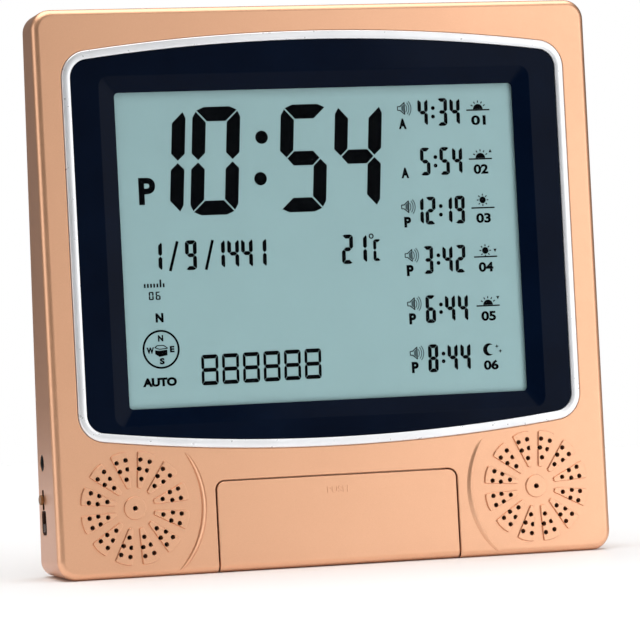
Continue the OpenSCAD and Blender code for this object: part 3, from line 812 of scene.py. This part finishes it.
def build_keys():
    def sign(i, x):
        z = KEY_Z
        if i == 0:
            return [circle(x, z, 1.25, 28)]
        if i == 1:
            return [[(x - 1.5, z - 0.95), (x + 1.5, z - 0.95), (x, z + 1.35)]]
        if i == 2:
            return [[(x - 1.5, z + 0.95), (x, z - 1.35), (x + 1.5, z + 0.95)]]
        if i == 3:
            return [rrect(x, z, 2.3, 2.3, 0.3, 4)]
        if i == 4:
            return [[(x - 1.5, z - 0.28), (x - 0.28, z - 0.28), (x - 0.28, z - 1.5), (x + 0.28, z - 1.5), (x + 0.28, z - 0.28),
                     (x + 1.5, z - 0.28), (x + 1.5, z + 0.28), (x + 0.28, z + 0.28), (x + 0.28, z + 1.5), (x - 0.28, z + 1.5),
                     (x - 0.28, z + 0.28), (x - 1.5, z + 0.28)]]
        return [[(x - 1.5, z - 0.28), (x + 1.5, z - 0.28), (x + 1.5, z + 0.28), (x - 1.5, z + 0.28)]]

    for i, x in enumerate(KEYS_X):
        rows = [(-1.5, 3.62), (-0.9, 3.6)] + [(-0.55 + 0.55 * math.sin(t), 4.15 - 0.55 * math.cos(t)) for t in quarter(5)] + [(0.0, 7.8)]
        rows[0] = (-1.2, 3.6)
        cap = solid("key", [at_depth(rrect(x, KEY_Z, 9 + 2 * o, 6.4 + 2 * o, max(0.2, 1.5 + o), 6), d) for o, d in rows[1:]])
        fl = [(-0.2, 7.6), (0.0, 7.75), (0.0, 8.3), (-0.1, 8.4)]
        boolean(cap, solid("flange", [at_depth(rrect(x, KEY_Z, 11.2 + 2 * o, 8.6 + 2 * o, 1.2, 5), d) for o, d in fl]), "UNION")
        boolean(cap, lathe("stem", x, KEY_Z, [(1.5, 8.2), (1.5, 9.9), (1.4, 10.0)], 24), "UNION")
        cap.name = f"key_cap_{i + 1}"
        finish_piece(cap, M["key_grey"], f"key_{i + 1}", (f"key_{i + 1}",))
        marks = merge(f"key_sign_{i + 1}", [prism("s", p, 3.52, 3.7) for p in sign(i, x)])
        finish_piece(marks, M["key_print"], f"key_{i + 1}")


# ------------------------------------------------------------------ side controls
def x_solid(name, prof, n=40):
    """A turned solid about the x axis at the origin; prof is (x, radius)."""
    rings = [[(x, r * math.cos(2 * math.pi * i / n), r * math.sin(2 * math.pi * i / n)) for i in range(n)] for x, r in prof]
    return solid(name, rings)


def build_side_trim():
    """The inlet's black bushing, the liner of the upper slot and the tray in the switch pocket, the last two dark and
    matte as painted shade for the inside of the openings.
    """
    rings = [[(r * math.cos(2 * math.pi * i / 40), r * math.sin(2 * math.pi * i / 40), w) for i in range(40)]
             for r, w in ((3.07, 3.2), (3.07, 0.3), (3.0, 0.2), (2.85, 0.17), (2.7, 0.27), (2.6, 0.6), (2.6, 3.2))]
    o = solid("inlet_bushing", rings, caps=(False, False), rows_closed=True)
    transform(o, side_frame(*JACK))
    finish_piece(o, M["component_black"], "case")

    def slot(e):
        return rrect(0, 0, 2.94 + 2 * e, 7.24 + 2 * e, 0.45 + e, 5)

    rings = [[(u, v, w) for u, v in slot(e)] for e, w in
             ((0.0, 2.15), (0.0, 0.2), (-0.05, 0.13), (-0.1, 0.12), (-0.15, 0.16), (-0.17, 0.25), (-0.17, 2.15))]
    # the liner's dark colour is painted shade for the inside of the slot
    o = solid("slot_liner", rings, caps=(False, False), rows_closed=True)
    transform(o, side_frame(SW_D, SW1_Z))
    finish_piece(o, M["slot_painted_shade"], "case")
    # the plate in the switch pocket takes the same painted shade
    o = solid("switch_plate", [[(u, v - 0.15, w) for u, v in rrect(0, 0, 7.0 + 2 * e, 8.7 + 2 * e, 1.4 + e, 6)]
                               for e, w in ((-0.1, 0.12), (0.0, 0.17), (0.05, 0.26), (0.05, 1.24))])
    boolean(o, solid("slot", [[(u, v, w) for u, v in rrect(0, 0, 3.2 + 2 * e, 7.5, 0.6 + e, 5)] for e, w in ((0.25, 0.0), (0.2, 0.16), (0.0, 0.45), (0.0, 2.0))]))
    transform(o, side_frame(SW_D, 21.45))
    finish_piece(o, M["slot_painted_shade"], "case")


def build_knobs():
    prof = [(-101.1, 0.9), (-106.5, 0.9), (-106.5, 1.72), (-106.58, 1.8), (-107.18, 1.8)]
    prof += [(-107.18 - 0.27 * math.sin(t), 1.53 + 0.27 * math.cos(t)) for t in quarter(4)][1:]
    prof += [(-107.38, 0.9), (-107.36, 0.4)]
    o = x_solid("mode_slider_knob", prof)
    for k in range(12):
        a = 2 * math.pi * k / 12
        g = x_solid("g", [(-107.6, 0.16), (-106.4, 0.16)], 10)
        transform(g, Matrix.Translation((0, 1.86 * math.cos(a), 1.86 * math.sin(a))))
        boolean(o, g)
    transform(o, Matrix.Translation((0, SW_D, SW1_Z)))
    finish_piece(o, M["knob_bronze"], "mode_slider", ("mode_knob",))
    rows = [(-105.2, 0.0), (-106.05, 0.0), (-106.15, -0.05), (-106.2, -0.15)]
    o = solid("level_slider_knob", [[(x, SW_D + u, SW2_Z + v) for u, v in rrect(0, 0, 2.8 + 2 * e, 3 + 2 * e, max(0.2, 0.5 + e), 4)] for x, e in rows])
    for k in (-0.8, 0, 0.8):
        boolean(o, transform(prism("r", [(-106.4, -0.18), (-106.03, -0.18), (-106.03, 0.18), (-106.4, 0.18)], -1.7, 1.7),
                             Matrix.Translation((0, SW_D, SW2_Z + k))))
    boolean(o, transform(prism("stem", [(-105.4, -1), (-101.1, -1), (-101.1, 1), (-105.4, 1)], -0.95, 0.95),
                         Matrix.Translation((0, SW_D, SW2_Z))), "UNION")
    finish_piece(o, M["knob_dark"], "level_slider", ("level_knob",))


# ------------------------------------------------------------------ display content
INK, GREY = [], []
D_INK = (3.215, 3.285)

SEG = {
    "f": [(0, 2.9), (2.45, 0.6), (4.9, 3.0), (4.9, 14.0), (1.1, 17.8), (0, 15.8)],
    "a": [(1.55, 18.4), (4.2, 19.55), (13.9, 19.55), (16.55, 18.4), (12.6, 14.55), (5.5, 14.55)],
    "g": [(3.0, 0), (5.4, 2.45), (12.7, 2.45), (15.1, 0), (12.7, -2.5), (5.4, -2.5)],
}
SEG["b"] = [(18.1 - x, z) for x, z in SEG["f"]][::-1]
SEG["e"] = [(x, -z) for x, z in SEG["f"]][::-1]
SEG["c"] = [(18.1 - x, -z) for x, z in SEG["f"]]
SEG["d"] = [(x, -z) for x, z in SEG["a"]][::-1]
DIGITS = {"0": "abcdef", "1": "bc", "2": "abged", "3": "abgcd", "4": "fgbc", "5": "afgcd", "6": "afgedc",
          "7": "abc", "8": "abcdefg", "9": "abcdfg", "C": "afed"}


def ink(pts, store=None, depth=D_INK):
    (INK if store is None else store).append((pts, depth))


def grow(pts, e):
    """A convex outline with every side moved outward by e."""
    n = len(pts)
    turn = sum(pts[i][0] * pts[(i + 1) % n][1] - pts[(i + 1) % n][0] * pts[i][1] for i in range(n))
    sgn = 1 if turn > 0 else -1
    out = []
    for i in range(n):
        (ax, az), (bx, bz), (cx, cz) = pts[i - 1], pts[i], pts[(i + 1) % n]
        l1, l2 = math.hypot(bx - ax, bz - az), math.hypot(cx - bx, cz - bz)
        n1 = (sgn * (bz - az) / l1, -sgn * (bx - ax) / l1)
        n2 = (sgn * (cz - bz) / l2, -sgn * (cx - bx) / l2)
        k = e / max(0.35, 1 + n1[0] * n2[0] + n1[1] * n2[1])
        out.append((bx + (n1[0] + n2[0]) * k, bz + (n1[1] + n2[1]) * k))
    return out


def digit(ch, x0, zc, w, h, slant, thick=1.0, full=0.045):
    """A seven-segment figure in a cell whose left edge is x0 at mid height."""
    kz = h / 39.1
    for s in DIGITS[ch]:
        pts = []
        for u, v in SEG[s]:
            # keep the stroke's width in proportion to the height, and take the rest of the cell as length
            t = kz * thick
            if u <= 5.5:
                x = u * t
            elif u >= 12.6:
                x = w - (18.1 - u) * t
            else:
                x = w * u / 18.1
            z = v * kz
            pts.append((x0 + x + z * slant, zc + z))
        ink(grow(pts, full))


def stroke(x0, z0, x1, z1, w, store=None):
    l = math.hypot(x1 - x0, z1 - z0)
    nx, nz = -(z1 - z0) / l * w / 2, (x1 - x0) / l * w / 2
    ink([(x0 - nx, z0 - nz), (x1 - nx, z1 - nz), (x1 + nx, z1 + nz), (x0 + nx, z0 + nz)], store)


def ring_ink(cx, cz, r, w, n=56, store=None):
    for i in range(n):
        a, b = 2 * math.pi * i / n, 2 * math.pi * (i + 1) / n
        p = [(cx + (r - w / 2) * math.cos(a), cz + (r - w / 2) * math.sin(a)), (cx + (r + w / 2) * math.cos(a), cz + (r + w / 2) * math.sin(a)),
             (cx + (r + w / 2) * math.cos(b), cz + (r + w / 2) * math.sin(b)), (cx + (r - w / 2) * math.cos(b), cz + (r - w / 2) * math.sin(b))]
        ink(p, store)


def arc_ink(cx, cz, r, w, a0, a1, n=10, store=None):
    for i in range(n):
        a, b = math.radians(a0 + (a1 - a0) * i / n), math.radians(a0 + (a1 - a0) * (i + 1) / n)
        ink([(cx + (r - w / 2) * math.cos(a), cz + (r - w / 2) * math.sin(a)), (cx + (r + w / 2) * math.cos(a), cz + (r + w / 2) * math.sin(a)),
             (cx + (r + w / 2) * math.cos(b), cz + (r + w / 2) * math.sin(b)), (cx + (r - w / 2) * math.cos(b), cz + (r - w / 2) * math.sin(b))], store)


def loudspeaker(x, z):
    """Loudspeaker sign with two sound bars, about 5.5 mm wide."""
    stroke(x - 2.7, z - 0.75, x - 2.7, z + 0.75, 0.3)
    stroke(x - 2.7, z + 0.7, x - 1.7, z + 0.7, 0.3)
    stroke(x - 2.7, z - 0.7, x - 1.7, z - 0.7, 0.3)
    stroke(x - 1.75, z + 0.7, x + 0.05, z + 2.2, 0.34)
    stroke(x - 1.75, z - 0.7, x + 0.05, z - 2.2, 0.34)
    stroke(x + 0.0, z - 2.3, x + 0.0, z + 2.3, 0.34)
    ink([(x - 1.2, z - 0.7), (x - 0.25, z - 1.45), (x - 0.25, z + 1.45), (x - 1.2, z + 0.7)], GREY)
    arc_ink(x - 1.3, z, 2.2, 0.34, -40, 40, 6, GREY)
    arc_ink(x - 1.3, z, 3.1, 0.34, -42, 42, 8, GREY)
    arc_ink(x - 1.3, z, 3.9, 0.34, -42, 42, 8, GREY)


def day_sign(k, x, z):
    """Signs for six times of day: the sun's height over a horizon, and a moon."""
    w = 0.5
    if k < 5:
        stroke(x - 4.6, z - 1.9, x + 4.6, z - 1.9, w)
        hgt = (-0.9, -0.1, 1.0, 0.4, -0.5)[k]
        r = 1.25
        zc = z + hgt
        if k in (2, 3):
            ink(circle(x, zc, r, 24))
            for j in range(8):
                a = math.radians(45 * j)
                stroke(x + 1.6 * math.cos(a), zc + 1.6 * math.sin(a), x + 2.3 * math.cos(a), zc + 2.3 * math.sin(a), 0.38)
        else:
            ink(arc(x, z - 1.6, 1.9, 0, 180, 14))
            for j in range(1, 6):
                a = math.radians(30 * j)
                stroke(x + 2.4 * math.cos(a), z - 1.6 + 2.4 * math.sin(a), x + 3.2 * math.cos(a), z - 1.6 + 3.2 * math.sin(a), 0.38)
        if k == 1:
            ink([(x + 3.4, z + 0.4), (x + 4.6, z + 0.4), (x + 4.0, z + 1.6)])
        if k == 4:
            ink([(x + 3.4, z + 1.5), (x + 4.0, z + 0.3), (x + 4.6, z + 1.5)])
        if k == 3:
            ink([(x + 3.3, z + 0.9), (x + 3.9, z - 0.3), (x + 4.5, z + 0.9)])
    else:
        outer = arc(x - 0.6, z, 2.3, 48, 312, 24)
        inner = arc(x + 0.5, z, 1.78, 74, 286, 24)
        for i in range(24):
            ink([outer[i], outer[i + 1], inner[i + 1], inner[i]])
        for sx, sz in ((2.6, 1.1), (3.9, -0.7)):
            p = []
            for j in range(8):
                a = math.radians(45 * j + 90)
                rr = 0.75 if j % 2 == 0 else 0.28
                p.append((x + sx + rr * math.cos(a), z + sz + rr * math.sin(a)))
            ink(p)


def display_content():
    s0 = 0.077
    zc = 149.35
    digit("1", -69.6, zc, 18.1, 39.1, s0, full=0.12)
    digit("0", -48.6, zc, 18.1, 39.1, s0, full=0.12)
    digit("5", -14.6, zc, 18.1, 39.1, s0, full=0.12)
    digit("4", 6.5, zc, 18.1, 39.1, s0, full=0.12)
    ink(circle(-21.35, 157.4, 2.42, 36))
    ink(circle(-22.55, 142.3, 2.42, 36))
    s = 0.025
    w, h, z = 4.35, 10.7, 115.4
    digit("1", -66.1, z, w, h, s)
    stroke(-55.7, z + 5.2, -58.9, z - 5.5, 1.05)
    digit("9", -52.9, z, w, h, s)
    stroke(-42.2, z + 5.2, -45.2, z - 5.5, 1.05)
    digit("1", -42.1, z, w, h, s)
    digit("4", -36.7, z, w, h, s)
    digit("4", -31.4, z, w, h, s)
    digit("1", -26.1, z, w, h, s)
    digit("2", 7.6, z, 4.3, h, s)
    digit("1", 13.0, z, 4.3, h, s)
    ring_ink(19.25, z + 4.5, 0.75, 0.42, 24)
    digit("C", 19.9, z - 0.7, 2.9, 7.9, s, 1.05)
    times = ("4:34", "5:54", "12:19", "3:42", "6:44", "8:44")
    for k, t in enumerate(times):
        zr = 164.8 - 18.15 * k
        h_, m_ = t.split(":")
        w, h = 3.9, 10.2
        # the lower rows sit a little further left, and the two-figure hour a little further right
        dx = -0.85 if k > 2 else 0.0
        hx = 1.1 if len(h_) == 2 else dx
        digit(h_[-1], 40.1 + hx, zr, w, h, s)
        if len(h_) == 2:
            digit(h_[0], 35.4 + hx, zr, w, h, s)
        ink(circle(46.15 + hx, zr + 1.55, 0.74, 18))
        ink(circle(46.05 + hx, zr - (1.25 if k > 2 else 1.6), 0.74, 18))
        digit(m_[0], 47.8 + dx, zr, w, h, s)
        digit(m_[1], 52.8 + dx * 0.9, zr, w, h, s)
        if k != 1:
            loudspeaker(34.9 - (0.35 if len(h_) == 2 else 0), zr + (1.7, 0, 1.7, 1.9, 2.2, 2.2)[k])
        day_sign(k, 64.0, zr + 2.3)
    # six plain figures in the sixteen-segment row
    for i, ch in enumerate("888888"):
        digit(ch, -48.9 + 7.95 * i, 73.6 + 0.1 * i, 6.4, 11.0, s, 0.72, 0.03)
    digit("0", -67.5, 101.2, 1.75, 2.9, 0.0, 1.25, 0.03)
    digit("6", -64.9, 101.2, 1.75, 2.9, 0.0, 1.25, 0.03)
    # weekday marks: seven short bars, the sixth one standing taller
    for i in range(7):
        x = -68.9 + 1.2 * i
        stroke(x, 104.2, x, 107.0 if i == 5 else 105.6, 0.62)
    # compass
    cx, cz = -63.9, 81.7
    ring_ink(cx, cz + 0.1, 6.68, 0.72)
    ink([(cx - 2.3, cz - 0.2), (cx - 2.3, cz - 1.6), (cx - 0.7, cz - 2.6), (cx + 2.3, cz - 2.1), (cx + 2.3, cz - 0.1), (cx - 0.6, cz - 0.4)])
    for a, b in (((-2.4, 0.8), (-0.6, 0.15)), ((-0.6, 0.15), (2.5, 0.4)), ((2.5, 0.4), (1.0, 1.5)), ((1.0, 1.5), (-1.4, 1.5)), ((-1.4, 1.5), (-2.4, 0.8))):
        stroke(cx + a[0], cz + a[1], cx + b[0], cz + b[1], 0.34)


def ink_mesh(name, items, mat):
    bm = bmesh.new()
    for pts, (d0, d1) in items:
        a = [bm.verts.new((x, d0, z)) for x, z in pts]
        b = [bm.verts.new((x, d1, z)) for x, z in pts]
        n = len(pts)
        fs = [bm.faces.new(a), bm.faces.new(b[::-1])]
        for i in range(n):
            j = (i + 1) % n
            fs.append(bm.faces.new((a[j], a[i], b[i], b[j])))
    bmesh.ops.recalc_face_normals(bm, faces=bm.faces)
    me = bpy.data.meshes.new(name)
    bm.to_mesh(me)
    bm.free()
    o = new_object(name, me)
    return finish_piece(o, mat, "case", weighted=False, angle=30)


def build_display():
    display_content()
    letters = [("P", 9.8, -66.2, 139.05, 6.3, 0.36), ("N", 3.35, -63.9, 93.2, 3.0, 0.2), ("AUTO", 3.2, -65.0, 70.0, 12.9, 0.19),
               ("N", 2.3, -63.9, 85.8, 2.0, 0.12), ("S", 2.3, -63.7, 77.5, 1.8, 0.12), ("W", 2.3, -68.0, 81.5, 2.8, 0.12), ("E", 2.3, -59.7, 81.7, 1.7, 0.12)]
    for k in range(6):
        zr = 164.8 - 18.15 * k
        letters.append(("A" if k < 2 else "P", 3.9 if k < 3 else 4.1, 33.9, zr + (-3.95, -3.95, -3.95, -3.65, -3.3, -3.05)[k],
                        3.0 if k < 2 else 2.7, 0.22))
        letters.append((f"0{k + 1}", 3.6, 64.0, zr - 3.4, 5.8, 0.14))
    parts = []
    for body, size, x, z, w, b in letters:
        parts.append(text_mesh(body, size, x, z, w, b, D_INK))
    t = merge("lcd_letters", parts)
    finish_piece(t, M["lcd_ink"], "case", weighted=False, angle=30)
    ink_mesh("lcd_segments", INK, M["lcd_ink"])
    ink_mesh("lcd_fine_segments", GREY, M["lcd_grey"])


# ------------------------------------------------------------------ carried-over nodes and softened copies
def from_node(name, node, width, mat, body, segments=2, angle=32, dissolve=1.5, smooth_angle=40):
    """A piece with the node's own shape and its sharp edges softened."""
    o = copy_of(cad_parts[node], name)
    o.data.materials.clear()
    transform(o, Matrix.Scale(1000, 4))
    tidy(o, dissolve, 2e-3)
    bevel(o, width, segments, angle)
    bm = bmesh.new()
    bm.from_mesh(o.data)
    bmesh.ops.remove_doubles(bm, verts=bm.verts, dist=1e-4)
    bm.to_mesh(o.data)
    bm.free()
    return finish_piece(o, mat, body, (node,), frame_m=UPRIGHT, angle=smooth_angle)


def paint_nodes():
    table = {
        "rear_cover": "rear_paint", "battery_door": "rear_paint", "display_lens": "lens_clear", "lcd_glass": "lcd",
        "backlight": "diffuser", "contact_strips": "elastomer", "display_board": "circuit_board", "key_board": "circuit_board",
        "side_board": "circuit_board", "board_chips": "component_black", "board_capacitors": "component_blue",
        "key_switches": "component_black", "flap_catch": "component_black", "dc_inlet": "component_black",
        "mode_switch": "component_black", "level_switch": "component_black", "dc_pin": "contact_pin",
        "small_screws": "screw_steel", "case_screws": "screw_steel", "speaker_gaskets": "foam", "speaker_baskets": "basket_steel",
        "speaker_clamps": "basket_steel", "speaker_cones": "cone", "speaker_magnets": "magnet", "battery_cells": "cell_sleeve",
        "battery_spring": "spring_steel", "battery_contacts": "spring_steel", "rubber_pads": "pad_rubber",
        "front_housing": "case_paint", "trim_ring": "bright_ring", "display_bezel": "bezel_black", "flap_lid": "case_paint",
        "mode_knob": "knob_bronze", "level_knob": "knob_dark",
    }
    for i in range(6):
        table[f"key_{i + 1}"] = "key_grey"
    for node, mat in table.items():
        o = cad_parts[node]
        o.data.materials.clear()
        o.data.materials.append(M[mat])
        for p in o.data.polygons:
            p.material_index = 0


# ------------------------------------------------------------------ camera, light, floor
def place_camera():
    yaw, pitch, roll = (math.radians(v) for v in (19.92, -1.39, 2.96))
    cy, sy, cp, sp, cr, sr = math.cos(yaw), math.sin(yaw), math.cos(pitch), math.sin(pitch), math.cos(roll), math.sin(roll)
    base = Matrix(((1, 0, 0), (0, 0, -1), (0, 1, 0)))
    Ry = Matrix(((cy, 0, -sy), (0, 1, 0), (sy, 0, cy)))
    Rx = Matrix(((1, 0, 0), (0, cp, -sp), (0, sp, cp)))
    Rz = Matrix(((cr, sr, 0), (-sr, cr, 0), (0, 0, 1)))
    R = Rz @ Rx @ Ry @ base
    t = Vector((2.74, -13.26, 1820.9))
    loc = -(R.transposed() @ t) * 0.98  # face-frame millimetres from the face's middle
    loc = Vector((loc.x, loc.y, loc.z + 102.72))
    axes = Matrix((R[0], -R[1], -R[2])).transposed()  # camera axes as columns, in the face frame
    turn = Matrix(((1, 0, 0), (0, CL, SL), (0, -SL, CL)))
    cam = bpy.data.cameras.new("camera")
    cam.lens, cam.sensor_width = 275.0, 36.0
    cam.clip_start, cam.clip_end = 0.05, 100
    o = bpy.data.objects.new("camera", cam)
    SCENE.collection.objects.link(o)
    m = (turn @ axes).to_4x4()
    m.translation = FACE @ loc
    o.matrix_world = m
    SCENE.camera = o
    return o


def area(name, loc, aim, w, h, power, colour=(1, 1, 1)):
    l = bpy.data.lights.new(name, "AREA")
    l.shape, l.size, l.size_y, l.energy, l.color = "RECTANGLE", w, h, power, colour
    o = bpy.data.objects.new(name, l)
    SCENE.collection.objects.link(o)
    o.location = loc
    o.rotation_mode = "QUATERNION"
    o.rotation_quaternion = (Vector(loc) - Vector(aim)).to_track_quat("Z", "Y")
    return o


def place_light():
    w = bpy.data.worlds.new("studio")
    SCENE.world = w
    w.use_nodes = True
    nt = w.node_tree

    def value(x, socket):
        if isinstance(x, (int, float)):
            socket.default_value = x
        else:
            nt.links.new(x, socket)

    def calc(op, a, b=0.0):
        m = nt.nodes.new("ShaderNodeMath")
        m.operation = op
        value(a, m.inputs[0])
        value(b, m.inputs[1])
        return m.outputs[0]

    def step(x, lo, hi, a=0.0, b=1.0):
        r = nt.nodes.new("ShaderNodeMapRange")
        r.interpolation_type = "SMOOTHSTEP"
        for k, v in (("From Min", lo), ("From Max", hi), ("To Min", a), ("To Max", b)):
            r.inputs[k].default_value = v
        nt.links.new(x, r.inputs["Value"])
        return r.outputs["Result"]

    def band(x, a, b, c, d):
        return calc("MULTIPLY", step(x, a, b), step(x, c, d, 1.0, 0.0))

    co = nt.nodes.new("ShaderNodeTexCoord")
    sep = nt.nodes.new("ShaderNodeSeparateXYZ")
    nt.links.new(co.outputs["Generated"], sep.inputs[0])
    x, y, z = sep.outputs
    az = calc("MULTIPLY", calc("ARCTAN2", x, calc("MULTIPLY", y, -1.0)), 180 / math.pi)
    # overhead panel, a broad flat to the right, a strip to the left and a dim surround
    total = calc("ADD", ENV["dim"], calc("MULTIPLY", step(z, 0.70, 0.85), ENV["top"]))
    low = step(z, 0.35, 0.62, 1.0, 0.0)
    for a0, a1, a2, a3, k in ENV["bands"]:
        total = calc("ADD", total, calc("MULTIPLY", calc("MULTIPLY", band(az, a0, a1, a2, a3), low), k))
    bg = nt.nodes["Background"]
    bg.inputs["Color"].default_value = (1, 1, 1, 1)
    nt.links.new(total, bg.inputs["Strength"])
    white = nt.nodes.new("ShaderNodeBackground")
    white.inputs["Color"].default_value = (1, 1, 1, 1)
    white.inputs["Strength"].default_value = 1.0
    lp = nt.nodes.new("ShaderNodeLightPath")
    mix = nt.nodes.new("ShaderNodeMixShader")
    nt.links.new(lp.outputs["Is Camera Ray"], mix.inputs["Fac"])
    nt.links.new(bg.outputs[0], mix.inputs[1])
    nt.links.new(white.outputs[0], mix.inputs[2])
    nt.links.new(mix.outputs[0], nt.nodes["World Output"].inputs["Surface"])
    for name, loc, aim, wd, ht, radiance in ENV["areas"]:
        area(name, loc, aim, wd, ht, radiance * math.pi * wd * ht)
    SCENE.view_settings.view_transform = "Standard"
    SCENE.view_settings.look = "None"


ENV = {
    "dim": 0.12,
    "top": 2.75,
    "bands": [(-4, 24, 60, 82, 0.55), (-116, -100, -74, -58, 1.3), (120, 150, 179, 180, 0.1), (-180, -179, -150, -120, 0.08)],
    "areas": [("key_light", (0.52, -0.635, 0.315), (0.03, 0, 0.12), 0.48, 0.66, 1.37)],
}


def place_floor():
    me = bpy.data.meshes.new("floor")
    n, rad = 96, 0.62
    pts = [(rad * math.cos(2 * math.pi * i / n), rad * math.sin(2 * math.pi * i / n), 0) for i in range(n)]
    me.from_pydata(pts, [], [tuple(range(n))])
    o = new_object("floor", me)
    a = Mat("floor_white")
    a.colour(a.noise(3, 2), (0.93, 0.93, 0.93, 1), (0.95, 0.95, 0.95, 1))
    a.set(Roughness=0.45, Specular_IOR_Level=0.3)
    me.materials.append(a.m)


# ------------------------------------------------------------------ build
paint_nodes()
build_front_housing()
build_ring()
build_bezel()
build_flap()
push = text_mesh("PUSH", 2.5, 0, 28.0, 8.2, 0.0, (-0.12, 0.2), 0.03)
push.name = "push_letters"
finish_piece(push, M["case_paint"], "flap", weighted=False)
build_keys()
build_knobs()
build_side_trim()
build_display()
from_node("back_cover", "rear_cover", 0.25, M["rear_paint"], "case")
from_node("battery_lid_panel", "battery_door", 0.2, M["rear_paint"], "battery_lid")
from_node("base_pads", "rubber_pads", 0.35, M["pad_rubber"], "case", 3)
place_camera()
place_light()
place_floor()
